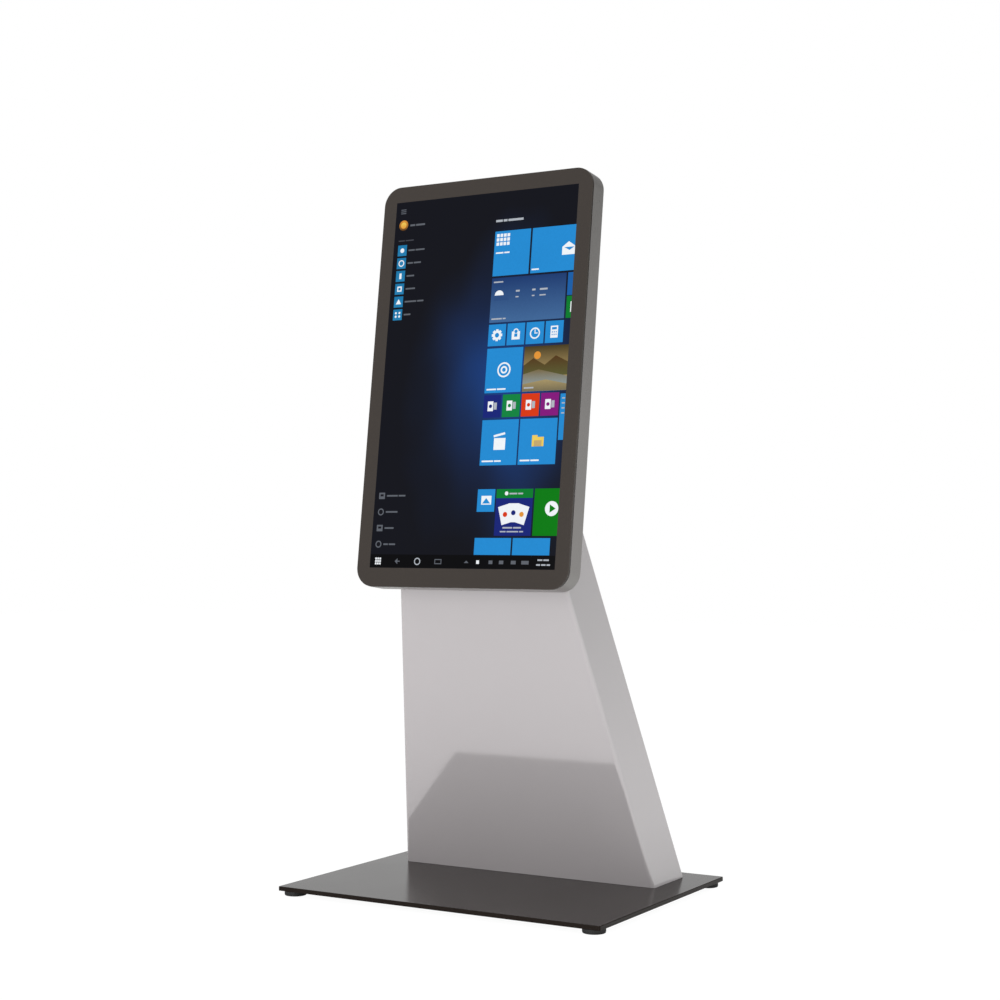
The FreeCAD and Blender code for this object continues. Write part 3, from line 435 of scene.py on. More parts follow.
def roundedLoop(width, height, radius, y, lift=0.0):
    points, steps = [], head["cornerSteps"]
    for quarter, (sx, sz) in enumerate(((1, 1), (-1, 1), (-1, -1), (1, -1))):
        for i in range(steps + 1):
            angle = math.radians(90 * quarter + 90 * i / steps)
            points.append((sx * (width / 2 - radius) + radius * math.cos(angle), y,
                           lift + sz * (height / 2 - radius) + radius * math.sin(angle)))
    return points


def insetLoops(width, height, radius, profile):
    return [roundedLoop(width - 2 * inset, height - 2 * inset, max(radius - inset, head["tightest"]), y)
            for inset, y in profile]


def makeHeadFrame():
    back, wall, lip = head["depth"], head["wall"], head["lip"]
    front, lipBack, seat = head["lipFront"], head["lipBack"], head["coverFront"]
    bend, rim, soft = head["backRound"], head["rim"], head["rimSoft"]
    seatBack = seat - head["seatThick"]
    arc = [(bend * (1 - math.cos(a)), back - bend + bend * math.sin(a)) for a in quarterTurn]
    profile = [(rim, front), (soft, front + soft), (0, front + rim)] + arc + [
        (wall - rim, back), (wall, back - rim), (wall, seat), (lip, seat), (lip, seatBack), (wall, seatBack),
        (wall, lipBack), (lip, lipBack), (lip, front)]
    bm = bmesh.new()
    loft(bm, insetLoops(head["width"], head["height"], head["corner"], profile), ring=True)
    piece = newPiece("headFrame", bm, "kiosk", "frame_metal", 30, headFrame)
    flatten(piece)
    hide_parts("head_frame")


litSurface = {
    "Specular IOR Level": 0.02, "Roughness": 0.2, "Emission Strength": 1.0, "Base Color": (0, 0, 0, 1),
}
glow = {
    "at": (78, 0, -32), "size": (0.22, 0.2, 0.34), "rippleScale": 1.6, "rippleShare": 0.7,
    "stops": ((0.0, (30, 66, 134)), (0.25, (29, 58, 112)), (0.5, (27, 42, 76)), (0.75, (24, 29, 43)),
              (1.0, (22, 22, 27))),
}


def screenFinish():
    # the lit panel: near black with a broad soft glow
    finish, tree, shader = newMaterial("litPanel", litSurface)
    local = wire(tree, "ShaderNodeMapping", {
        "Vector": objectPlace(tree), "Location": headFrame @ (Vector(glow["at"]) * mm),
        "Rotation": headFrame.to_euler(), "Scale": glow["size"]}, vector_type="TEXTURE").outputs[0]
    spread = vectorMaths(tree, "LENGTH", local, output="Value")
    ripple = maths(tree, "SUBTRACT", noise(tree, local, glow["rippleScale"], 1.0), 0.5)
    reach = maths(tree, "ADD", spread, maths(tree, "MULTIPLY", ripple, glow["rippleShare"]))
    shades = wire(tree, "ShaderNodeValToRGB", {0: reach})
    ramp = shades.color_ramp
    ramp.interpolation = "B_SPLINE"
    while len(ramp.elements) < len(glow["stops"]):
        ramp.elements.new(0.5)
    for element, (at, colour) in zip(ramp.elements, glow["stops"]):
        element.position, element.color = at, (*linear(colour), 1)
    tree.links.new(shades.outputs[0], shader.inputs["Emission Color"])
    return finish


def makeCoverGlass():
    inset, thick, bend = head["glassInset"], head["glassThick"], head["glassEdge"]
    width, height, chamfer = head["width"] - 2 * inset, head["height"] - 2 * inset, head["glassBackEdge"]
    arc = [(bend * (1 - math.sin(a)), bend * (1 - math.cos(a))) for a in quarterTurn[::-1]]
    loops = insetLoops(width, height, head["corner"] - inset, [(chamfer, thick), (0, thick - chamfer)] + arc)
    window = roundedLoop(head["displayWidth"], head["displayHeight"], head["displayCorner"], 0,
                         head["displayLift"])
    bm = bmesh.new()
    rows = loft(bm, loops + [window], ends=False)
    bm.faces.new(rows[0][::-1])
    bm.faces.new(rows[-1]).material_index = 1
    piece = newPiece("coverGlass", bm, "kiosk", "front_glass", 30, headFrame,
                     [finishes["front_glass"], screenFinish()])
    flatten(piece)
    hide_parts("cover_glass")


# the picture on the screen is plain shapes in display millimetres: x from the left edge, y down from the top
palette = {
    "tile": (38, 139, 210), "tileDeep": (30, 96, 168), "listTop": (30, 118, 168), "listBlue": (40, 128, 178),
    "navy": (28, 40, 120), "green": (16, 124, 48), "grass": (14, 122, 22), "leaf": (22, 132, 66),
    "ember": (216, 59, 24), "plum": (132, 28, 124), "white": (240, 244, 248), "pale": (176, 182, 190),
    "dim": (96, 100, 108), "faint": (70, 72, 80), "night": (25, 25, 31), "bar": (14, 14, 16),
    "amber": (226, 150, 58), "yellow": (238, 205, 92), "umber": (84, 56, 30), "moss": (92, 92, 52),
    "sand": (196, 168, 112), "dusk": (70, 60, 34), "clay": (120, 104, 68), "water": (150, 168, 172),
    "straw": (166, 148, 104), "husk": (120, 110, 84),
    "storm": (32, 60, 112), "haze": (66, 104, 152), "cloud": (48, 80, 130),
}


class ScreenPainter:
    behind, layerStep = 0.1, 0.012

    def __init__(self):
        self.bm = bmesh.new()
        self.tint = self.bm.loops.layers.float_color.new("tint")

    def at(self, x, y, depth):
        return (x - head["displayWidth"] / 2, depth, head["displayHeight"] / 2 + head["displayLift"] - y)

    def shape(self, outline, colour, layer=1, footColour=None):
        low = [self.bm.verts.new(self.at(x, y, self.behind)) for x, y in outline]
        high = [self.bm.verts.new(self.at(x, y, -self.layerStep * layer)) for x, y in outline]
        count = len(outline)
        faces = [self.bm.faces.new(low[::-1]), self.bm.faces.new(high)]
        faces += [self.bm.faces.new((low[i], low[(i + 1) % count], high[(i + 1) % count], high[i]))
                  for i in range(count)]
        # the colour runs evenly from the shape's top to its foot
        ys = [y for x, y in outline]
        top, foot = linear(palette[colour]), linear(palette[footColour or colour])
        for face in faces:
            for loop in face.loops:
                y = head["displayHeight"] / 2 + head["displayLift"] - loop.vert.co.z
                part = (y - min(ys)) / max(1e-6, max(ys) - min(ys))
                loop[self.tint] = (*[a + (b - a) * part for a, b in zip(top, foot)], 1)

    def box(self, left, top, right, bottom, colour, layer=1, footColour=None):
        self.shape([(left, top), (left, bottom), (right, bottom), (right, top)], colour, layer, footColour)

    def block(self, x, y, halfWide, halfHigh, colour, layer=2):
        self.box(x - halfWide, y - halfHigh, x + halfWide, y + halfHigh, colour, layer)

    def lattice(self, left, top, columns, rows, size, pitch, colour="white", layer=2):
        for row in range(rows):
            for place in range(columns):
                x, y = left + pitch[0] * place, top + pitch[1] * row
                self.box(x, y, x + size[0], y + size[1], colour, layer)

    def disc(self, x, y, radius, colour, layer=2, steps=24, footColour=None):
        turns = [2 * math.pi * i / steps for i in range(steps)][::-1]
        self.shape([(x + radius * math.sin(a), y + radius * math.cos(a)) for a in turns], colour, layer,
                   footColour)

    def ring(self, x, y, radius, width, colour, inner, layer=2):
        self.disc(x, y, radius, colour, layer)
        self.disc(x, y, radius - width, inner, layer + 1)

    def words(self, left, y, lengths, colour="pale", thick=2.4, layer=2):
        # a bar for each word
        for length in lengths:
            self.box(left, y - thick / 2, left + length, y + thick / 2, colour, layer)
            left += length + 2


menu = {
    "left": 10, "icon": (20, 21), "listTop": 84, "listPitch": 24.9, "listText": 34,
    "listRows": (("disc", (14, 20)), ("ring", (12, 16)), ("post", (17,)), ("square", (21,)),
                 ("peak", (26, 14)), ("dots", (15,))),
    "footTop": 564, "footPitch": 30.2, "footMark": 16, "footText": 27,
    "footRows": ((24, 15), (26,), (20,), (10, 14)),
}


def paintMark(s, mark, x, y):
    if mark == "disc":
        s.disc(x, y, 4.4, "white", 3)
    elif mark == "ring":
        s.ring(x, y, 6.4, 2, "white", "listBlue", 3)
    elif mark == "post":
        s.block(x, y, 2.4, 5.5, "white", 3)
    elif mark == "square":
        s.block(x, y, 5, 5, "white", 3)
        s.block(x, y, 2.6, 2.6, "listBlue", 4)
    elif mark == "peak":
        s.shape([(x - 6, y + 4.5), (x + 6, y + 4.5), (x, y - 5.5)], "white", 3)
    else:
        for dx in (-4, 4):
            for dy in (-3.4, 3.4):
                s.disc(x + dx, y + dy, 2.2, "white", 3, 16)


def paintMenu(s):
    m = menu
    s.lattice(11, 14, 1, 3, (11.5, 1.6), (0, 3.6), "dim")
    s.disc(19, 45.5, 10, "amber", 2, 32, "umber")
    s.disc(19, 45.5, 6.2, "yellow", 3, 24, "amber")
    s.words(m["listText"], 46.5, (11, 20), "dim", 3.6)
    s.words(m["left"], 75.5, (14, 18), "faint", 2.2)
    wide, high = m["icon"]
    for i, (mark, lengths) in enumerate(m["listRows"]):
        top = m["listTop"] + m["listPitch"] * i
        s.box(m["left"], top, m["left"] + wide, top + high, "listTop", 2, "listBlue")
        paintMark(s, mark, m["left"] + wide / 2, top + high / 2)
        s.words(m["listText"], top + 11, lengths, "dim", 3.0)
    for i, lengths in enumerate(m["footRows"]):
        x, y = m["footMark"], m["footTop"] + m["footPitch"] * i
        if i % 2:
            s.ring(x, y, 6.6, 2.2, "dim", "night")
        else:
            s.block(x, y, 6.5, 6, "dim")
            s.box(x - 3.5, y - 3, x + 3.5, y + 1, "night", 3)
        s.words(m["footText"], y, lengths, "dim", 3.0)


# the right-hand tiles: each row's top and foot, and the widths that the rows share
tiles = {
    "left": 224, "right": head["displayWidth"], "first": 299.6, "second": 303.4, "textLeft": 228,
    "small": 36.6, "smallPitch": 39.7, "smallRight": 379.2, "lastLeft": 382.6, "widePitch": 79.4,
    "topRow": (75, 159.5), "weatherRow": (163.2, 246.8), "toolRow": (250.2, 290.6), "viewRow": (295, 377.6),
    "colourRow": (381.4, 423), "fileRow": (427.4, 510.6), "gameRow": (554, 638.4), "lastRow": (642.4, 673),
}


def paintGear(s, x, y):
    for k in range(8):
        a = math.pi * k / 4
        dx, dy = math.sin(a), math.cos(a)
        s.shape([(x + out * dx + side * dy, y + out * dy - side * dx)
                 for out, side in ((11, -2.4), (11, 2.4), (6, 3), (6, -3))], "white", 2)
    s.ring(x, y, 8.6, 4.2, "white", "tile", 3)


def paintBag(s, x, y):
    s.box(x - 8.5, y - 5, x + 8.5, y + 10, "white", 2)
    s.ring(x, y - 5, 5.4, 2, "white", "tile", 2)
    s.box(x - 3.2, y - 1, x + 3.2, y + 5, "tile", 4)


def paintClock(s, x, y):
    s.ring(x, y + 0.5, 10.5, 2.6, "white", "tile", 2)
    s.box(x - 0.9, y - 6.5, x + 0.9, y + 1.4, "white", 4)
    s.box(x - 0.7, y - 0.4, x + 5.5, y + 1.3, "white", 4)


def paintCalculator(s, x, y):
    s.block(x, y, 7.5, 11, "white", 2)
    s.box(x - 5, y - 8.5, x + 5, y - 4, "tile", 3)
    s.lattice(x - 5, y - 1, 3, 2, (2, 2.6), (4, 4.8), "tile", 3)


def paintTopTiles(s):
    t = tiles
    left, right, text = t["left"], t["right"], t["textLeft"]
    s.words(left, 55, (14, 8, 32), "pale", 4.2)
    top, foot = t["topRow"]
    s.box(left, top, t["first"], foot, "tile")
    s.lattice(text, 80, 4, 3, (5.6, 6), (7.4, 8))
    s.words(text, 116, (16, 11), "white", 2.8)
    s.box(t["second"], top, right, foot, "tile")
    s.shape([(367, 115), (380, 105.5), (right, 114.5), (right, 130), (367, 130)], "white", 2)
    s.shape([(371, 116), (right - 1, 116), (382, 122)], "tile", 3)
    s.words(306, 152.5, (15,), "white", 2.8)

    top, foot = t["weatherRow"]
    s.box(left, top, t["smallRight"], foot, "storm", 1, "haze")
    s.words(text, 171, (20,), "pale", 2.6)
    s.disc(241, 196, 9.4, "white", 2, 28)
    s.box(230, 196, 262, 206, "cloud", 3)
    for x, width in ((276, 8), (310, 7), (326, 16)):
        s.words(x, 190, (width,), "pale", 3.4)
        s.words(x, 201, (width * 0.8,), "pale", 2.4)
    s.words(text, 240, (22, 6), "pale", 2.6)
    s.box(t["lastLeft"], top, right, 205, "tileDeep")
    s.box(t["lastLeft"], 206.6, right, foot, "green")
    s.box(391, 217, right, 236, "white", 2)

    top, foot = t["toolRow"]
    for i, paintTool in enumerate((paintGear, paintBag, paintClock, paintCalculator)):
        x = left + t["smallPitch"] * i
        s.box(x, top, x + t["small"], foot, "tile")
        paintTool(s, x + t["small"] / 2, 270.5)


def paintHills(s):
    # a plain hilly view in autumn colours
    left, right = 302.6, tiles["right"]
    top, foot = tiles["viewRow"]
    s.box(left, top, right, foot, "dusk", 1, "sand")
    s.disc(330, 312, 7, "amber", 2, 24)
    s.shape([(left, 330), (322, 317), (346, 330), (368, 314), (right, 326), (right, 350), (left, 350)],
            "umber", 2, "moss")
    s.shape([(left, 346), (334, 338), (right, 352), (right, 377.5), (left, 377.5)], "clay", 3, "water")
    s.shape([(left, 364), (350, 357), (right, 366), (right, 377.4), (left, 377.4)], "straw", 4, "husk")
    s.words(306, 371, (20,), "pale", 2.8, 5)


def paintLowerTiles(s):
    t = tiles
    left, right, text = t["left"], t["right"], t["textLeft"]
    top, foot = t["viewRow"]
    s.box(left, top, t["first"], foot, "tile")
    s.ring(262, 335.5, 14, 3, "white", "tile", 2)
    s.ring(262, 335.5, 7, 3.2, "white", "tile", 4)
    s.words(text, 371, (20, 18), "white", 2.8)
    paintHills(s)

    top, foot = t["colourRow"]
    for i, colour in enumerate(("navy", "leaf", "ember", "plum")):
        edge = left + t["smallPitch"] * i
        s.box(edge, top, edge + t["small"], foot, colour)
        x, y = edge + 18, 402
        s.box(x - 9, y - 9, x + 2.5, y + 9, "white", 2)
        s.box(x + 3.6, y - 6.4, x + 10, y + 6.4, "pale", 2)
        s.disc(x - 3.2, y, 3.4, colour, 3, 20)
    s.box(t["lastLeft"], 384, right, 467.5, "tile")
    for i in range(4):
        s.words(386, 392 + 9 * i, (6,))

    top, foot = t["fileRow"]
    for i, lengths in enumerate(((24, 14), (20, 17))):
        edge = left + t["widePitch"] * i
        s.box(edge, top, edge + 76.4, foot, "tile")
        s.words(edge + 4, 503, lengths, "white", 2.8)
    s.box(251, 461, 275, 482.5, "white", 2)
    s.shape([(250.4, 459.4), (249.6, 455.6), (273, 450.5), (274, 454.4)], "white", 2)
    s.box(330, 461, 354, 478, "yellow", 2)
    s.box(330, 457.6, 341, 462, "yellow", 2)
    s.box(334, 467, 350, 478, "sand", 3)


def paintGames(s):
    right = tiles["right"]
    top, foot = tiles["gameRow"]
    s.box(224.6, top, 261.2, 595, "tile")
    s.box(233, 566, 254, 582, "white", 2)
    s.shape([(235, 580), (243, 570), (252, 580)], "tile", 3)
    s.box(264, top, 339.6, foot, "navy")
    s.box(264.1, 554.1, 339.5, 570.5, "green", 2)
    s.disc(285, 562, 3.6, "white", 3)
    s.words(291, 562.5, (16, 10), "pale", 2.8, 3)
    # three plain cards in a fan
    for k, (turn, colour) in enumerate(((-16, "ember"), (0, "navy"), (16, "amber"))):
        a = math.radians(turn)
        across, down = Vector((math.cos(a), math.sin(a))), Vector((-math.sin(a), math.cos(a)))
        middle = Vector((301.5 + 17 * (k - 1), 597 + abs(k - 1) * 3))
        s.shape([tuple(middle + across * wide + down * high)
                 for wide, high in ((-11, -17), (-11, 17), (11, 17), (11, -17))], "white", 2 + k)
        s.disc(middle.x, middle.y, 4.6, colour, 3 + k, 20)
    s.words(281, 624, (20, 16), "pale", 2.8)
    s.words(276, 631, (12, 24, 8), "pale", 2.4)
    s.box(343, top, right, foot, "grass")
    s.disc(379, 590, 13.4, "white", 2, 32)
    s.shape([(375, 582.5), (375, 597.5), (387, 590)], "grass", 3)
    top, foot = tiles["lastRow"]
    for i in range(2):
        edge = 224.6 + tiles["widePitch"] * i
        s.box(edge, top, edge + 76, foot, "tile")


def paintBottomBar(s):
    s.box(0.4, 673.4, tiles["right"] - 0.4, 698, "bar")
    s.lattice(11.5, 679.6, 3, 3, (3.5, 3.5), (4.6, 4.6))
    s.shape([(55, 686), (61, 680.5), (61, 691.5)], "dim", 2)
    s.box(60, 685, 66, 687, "dim", 2)
    s.ring(104.5, 686, 6.8, 2, "pale", "bar", 2)
    s.box(142, 681.4, 157, 690.6, "dim", 2)
    s.box(143.6, 683, 155.4, 689, "bar", 3)
    s.shape([(205, 688), (215, 688), (210, 683.6)], "dim", 2)
    for x, width, colour in ((234, 6, "white"), (261, 8, "dim"), (283, 9, "dim"), (308, 10, "dim"),
                             (332, 15, "dim")):
        s.box(x - width / 2, 683, x + width / 2, 689.4, colour, 2)
    s.words(357, 681.5, (10, 11), "pale", 2.8)
    s.words(355, 690, (8, 9, 7), "pale", 2.8)


def makeScreenPicture():
    s = ScreenPainter()
    paintMenu(s)
    paintTopTiles(s)
    paintLowerTiles(s)
    paintGames(s)
    paintBottomBar(s)
    lit, tree, shader = newMaterial("screenColours", litSurface)
    tint = wire(tree, "ShaderNodeVertexColor", layer_name="tint")
    speckle = grouped(tree, fineGrain, scale=300.0)
    gain = remap(tree, speckle.outputs["Value"], *speckleRange, 0.95, 1.05)
    lively = vectorMaths(tree, "MULTIPLY", tint.outputs["Color"], gain)
    tree.links.new(lively, shader.inputs["Emission Color"])
    newPiece("screenPicture", s.bm, "kiosk", "display_panel", 20, headFrame, [lit])


column = {
    "width": 545, "depth": 129, "front": 81.5, "lean": 16.63, "taper": 0.168, "floor": 17,
    "fold": 7, "sheet": 2, "return": 20.28, "foldSteps": 10, "edge": 0.35,
}


def columnPoints(side, x, y):
    # the two ends of a line that keeps its distance from the column's side and front at every height
    foot = Vector((side * x, y, column["floor"]))
    run = Vector((-side * column["taper"], -math.tan(math.radians(column["lean"])), 1))
    normal = headFrame.to_3x3() @ Vector((0, 1, 0))
    behind = (headFrame @ (Vector((0, head["depth"], 0)) * mm)) / mm
    reach = (behind - foot).dot(normal) / run.dot(normal)
    return foot, foot + run * reach


def columnPath(inset):
    # half of the folded sheet's section: along the rear return, round two folds, to the front
    half, front = column["width"] / 2 - inset, column["front"] + inset
    back = column["front"] + column["depth"] - inset
    bend, steps = column["fold"] - inset, column["foldSteps"]
    path = [(column["width"] / 2 - column["return"], back)]
    for at, start in (((half - bend, back - bend), 90), ((half - bend, front + bend), 0)):
        for i in range(steps + 1):
            a = math.radians(start - 90 * i / steps)
            path.append((at[0] + bend * math.cos(a), at[1] + bend * math.sin(a)))
    return path


def makeColumnShell():
    bm = bmesh.new()
    lows, highs = [], []
    for inset in (0, column["sheet"]):
        path = columnPath(inset)
        ends = [columnPoints(side, x, y) for side, run in ((1, path), (-1, path[::-1])) for x, y in run]
        lows.append([bm.verts.new(low) for low, high in ends])
        highs.append([bm.verts.new(high) for low, high in ends])
    count = len(lows[0])
    for i in range(count - 1):
        j = i + 1
        bm.faces.new((lows[0][i], lows[0][j], highs[0][j], highs[0][i]))
        bm.faces.new((lows[1][j], lows[1][i], highs[1][i], highs[1][j]))
        bm.faces.new((lows[0][j], lows[0][i], lows[1][i], lows[1][j]))
        bm.faces.new((highs[0][i], highs[0][j], highs[1][j], highs[1][i]))
    for i in (0, count - 1):
        bm.faces.new((lows[0][i], highs[0][i], highs[1][i], lows[1][i]))
    piece = newPiece("columnShell", bm, "kiosk", "column_paint", 32, Matrix.Identity(4))
    soften(piece, column["edge"], 50)
    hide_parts("column_shell")


def makeScatterTree():
    # puts a part on every point, facing one way, each turned by a different amount
    tree, given, result = newGroup(
        "partOnPoints",
        [("Points", "NodeSocketGeometry", None), ("Part", "NodeSocketObject", None),
         ("Facing", "NodeSocketVector", (0, 0, 1)), ("Turn", "NodeSocketFloat", 6.28),
         ("Seed", "NodeSocketInt", 3), ("Finish", "NodeSocketMaterial", None)],
        [("Geometry", "NodeSocketGeometry")], "GeometryNodeTree")
    part = wire(tree, "GeometryNodeObjectInfo", {"Object": given["Part"]})
    facing = wire(tree, "FunctionNodeAlignRotationToVector", {"Vector": given["Facing"]}, axis="Z")
    turn = wire(tree, "FunctionNodeRandomValue", {3: given["Turn"], "Seed": given["Seed"]}, data_type="FLOAT")
    spin = wire(tree, "FunctionNodeAxisAngleToRotation", {"Axis": (0, 0, 1), "Angle": turn.outputs[1]})
    rotation = wire(tree, "FunctionNodeRotateRotation", {0: facing.outputs[0], 1: spin.outputs[0]},
                    rotation_space="LOCAL")
    placed = wire(tree, "GeometryNodeInstanceOnPoints", {
        "Points": given["Points"], "Instance": part.outputs["Geometry"], "Rotation": rotation.outputs[0]})
    realized = wire(tree, "GeometryNodeRealizeInstances", {0: placed.outputs[0]})
    finished = wire(tree, "GeometryNodeSetMaterial", {
        "Geometry": realized.outputs[0], "Material": given["Finish"]})
    tree.links.new(finished.outputs[0], result[0])
    return tree


scatterTree = makeScatterTree()


def looseObject(name, bm):
    mesh = bpy.data.meshes.new(name)
    bm.to_mesh(mesh)
    bm.free()
    thing = bpy.data.objects.new(name, mesh)
    scene.collection.objects.link(thing)
    return thing


def scatter(name, part, spots, place, facing, body, slot, nodes=(), turn=6.28, smooth=40, joined=False):
    points = bpy.data.meshes.new(name)
    points.from_pydata([place @ (Vector(spot) * mm) for spot in spots], [], [])
    holder = bpy.data.objects.new(name + "Spots", points)
    scene.collection.objects.link(holder)
    modifier = holder.modifiers.new("scatter", "NODES")
    modifier.node_group = scatterTree
    chosen = {"Part": part, "Facing": tuple(place.to_3x3() @ Vector(facing)), "Turn": turn,
              "Finish": finishes[slot]}
    for item in scatterTree.interface.items_tree:
        if item.in_out == "INPUT" and item.name in chosen:
            modifier[item.identifier] = chosen[item.name]
    view = bpy.context.evaluated_depsgraph_get()
    mesh = bpy.data.meshes.new_from_object(holder.evaluated_get(view), depsgraph=view)
    mesh.name = name
    holder.modifiers.clear()
    bpy.data.objects.remove(holder)
    bm = bmesh.new()
    bm.from_mesh(mesh)
    if joined:
        # neighbouring parts share their rims, and the outermost rims are closed
        bmesh.ops.remove_doubles(bm, verts=bm.verts, dist=0.01 * mm)
        bmesh.ops.bridge_loops(bm, edges=[e for e in bm.edges if e.is_boundary])
    piece = newPiece(name, bm, body, slot, smooth)
    if nodes:
        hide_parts(*nodes)


screw = {
    "steps": 24, "tipWide": 0.8, "tipLong": 0.4, "underEdge": 0.15,
    # radius and height up the head, as shares of the head's own
    "crown": ((1, 0.5), (0.93, 0.8), (0.78, 0.95), (0.6, 1)),
    "socketFoot": (0.96, 0.35),
}


def hexagonPoints(radius, steps):
    points, sixth = [], math.pi / 3
    for i in range(steps):
        a = 2 * math.pi * i / steps
        local = (a + sixth / 2) % sixth - sixth / 2
        reach = radius * math.cos(sixth / 2) / math.cos(local)
        points.append((reach * math.cos(a), reach * math.sin(a)))
    return points


def socketScrew(headRadius, headHigh, shankRadius, shankLong, socket):
    def circle(radius, z, outline=circlePoints):
        return [(x, y, z) for x, y in outline(radius, screw["steps"])]

    under, (footWide, footHigh) = screw["underEdge"], screw["socketFoot"]
    loops = [circle(shankRadius * screw["tipWide"], -shankLong),
             circle(shankRadius, -shankLong + screw["tipLong"]), circle(shankRadius, 0),
             circle(headRadius - under, 0), circle(headRadius, under)]
    loops += [circle(headRadius * wide, headHigh * high) for wide, high in screw["crown"]]
    loops += [circle(socket, headHigh, hexagonPoints),
              circle(socket * footWide, headHigh * footHigh, hexagonPoints)]
    bm = bmesh.new()
    loft(bm, loops)
    bmesh.ops.recalc_face_normals(bm, faces=bm.faces)
    for face in bm.faces:
        face.smooth = True
    bm.transform(Matrix.Scale(mm, 4))
    return bm


def backHalf(z):
    # half the column's width, at this distance up its back face
    return column["width"] / 2 - column["taper"] * z * math.cos(math.radians(column["lean"]))


fasteners = {
    "panelHeights": (30, 340, 660), "panelInset": 31, "fanMiddle": 765, "fanPitch": 35.75,
    "coverSide": 216.15, "coverEnd": 373.4, "coverHeights": (-300, -100, 100, 300), "coverAcross": 110,
    "plateAcross": 128, "plateHeights": (140, 500), "plateFace": -97.5,
    "inletAcross": 26, "inletHeight": 42, "inletFace": 2, "supplyCorners": (-79.5, 4.5, 146.5, 251.5),
    "hingeHeights": (140, 540), "leafFace": 1.5, "panelLeaf": (-161, 19), "doorLeaf": (-131, 7),
    # head radius, head height, shank radius, shank length, socket radius
    "panel": (4, 1.8, 2, 6, 1.45), "fan": (3.6, 1.8, 2, 12, 1.3), "cover": (3, 1.4, 1.6, 6, 1.15),
    "plate": (4, 2.4, 2.1, 2, 1.5), "inlet": (2.7, 1.2, 1.5, 5, 1.0), "supply": (3.2, 1.2, 1.5, 2.5, 1.1),
    "leaf": (2.9, 0.9, 1.5, 2.5, 1.1),
}
supply = {
    "left": -83, "low": 143, "face": -67.5, "thick": 0.8, "pitch": 7.0, "across": 13, "up": 16, "hole": 2.5,
    "holeSteps": 8,
}


def makeScrews():
    f, sides = fasteners, (-1, 1)

    def pairs(across, y, heights):
        return [(s * across, y, z) for z in heights for s in sides]

    panelSpots = [(s * (backHalf(z) - f["panelInset"]), 0, z) for z in f["panelHeights"] for s in sides]
    fanSpots = [(sx * f["fanPitch"], 0, f["fanMiddle"] + sz * f["fanPitch"]) for sx in sides for sz in sides]
    coverSpots = pairs(f["coverSide"], head["depth"], f["coverHeights"])
    coverSpots += [(sx * f["coverAcross"], head["depth"], sz * f["coverEnd"]) for sx in sides for sz in sides]
    plateSpots = pairs(f["plateAcross"], f["plateFace"], f["plateHeights"])
    inletSpots = pairs(f["inletAcross"], f["inletFace"], [f["inletHeight"]])
    left, right, low, high = f["supplyCorners"]
    supplySpots = [(x, supply["face"] + supply["thick"], z) for x in (left, right) for z in (low, high)]
    panelLeafSpots, doorLeafSpots = [
        [(x, f["leafFace"], middle + s * apart) for middle in f["hingeHeights"] for s in sides]
        for x, apart in (f["panelLeaf"], f["doorLeaf"])]
    for name, kind, spots, place, nodes, body in (
            ("panelScrews", "panel", panelSpots, backFrame, ["panel_screws"], "kiosk"),
            ("fanScrews", "fan", fanSpots, backFrame, ["fan_screws"], "kiosk"),
            ("coverScrews", "cover", coverSpots, headFrame, ["rear_cover_screws"], "kiosk"),
            ("plateScrews", "plate", plateSpots, backFrame, ["equipment_screws"], "kiosk"),
            ("inletScrews", "inlet", inletSpots, backFrame, [], "kiosk"),
            ("supplyScrews", "supply", supplySpots, backFrame, [], "kiosk"),
            ("panelLeafScrews", "leaf", panelLeafSpots, backFrame, [], "kiosk"),
            ("doorLeafScrews", "leaf", doorLeafSpots, backFrame, [], "door")):
        part = looseObject(name + "Part", socketScrew(*f[kind]))
        scatter(name, part, spots, place, (0, 1, 0), body, "screw_steel", nodes)
        bpy.data.objects.remove(part)


# these keep the metalwork's shape, with their edges softened by so many millimetres
refined = {
    "base_plate": 0.25, "rear_panel": 0.3, "service_door": 0.35, "rear_cover": 0.3, "neck_plate": 0,
    "hinge_leaves_panel": 0.25, "hinge_leaves_door": 0.25, "hinge_pins": 0.4,
    "lock_barrel": 0.35, "lock_plug": 0.2, "lock_nut": 0.3, "lock_cam": 0.3, "lock_keeper": 0.5,
    "mains_inlet": 0.2, "power_rocker": 0.5, "inlet_blades": 0.25, "fan_frame": 0.3, "fan_rotor": 0.2,
    "mini_pc": 0.6, "power_supply": 0.8, "equipment_plate": 0.3,
    "spine_left": 1.2, "spine_right": 1.2, "column_flange": 0.5, "panel_lugs": 0.3, "cable_clips": 0.4,
    "cable_grommet": 0.4, "mount_bolts": 0.35, "flange_bolts": 0.3, "mount_rails": 0.3,
    "head_mount_plate": 0.4, "mount_spacers": 0.3, "driver_board": 0.25, "touch_board": 0.2,
    "foot_pad_front_left": 0, "foot_pad_front_right": 0, "foot_pad_back_left": 0, "foot_pad_back_right": 0,
}


def nameFor(node):
    if node == "mini_pc":
        return "computerCase"
    first, *rest = node.removeprefix("foot_").split("_")
    return first + "".join(word.title() for word in rest)


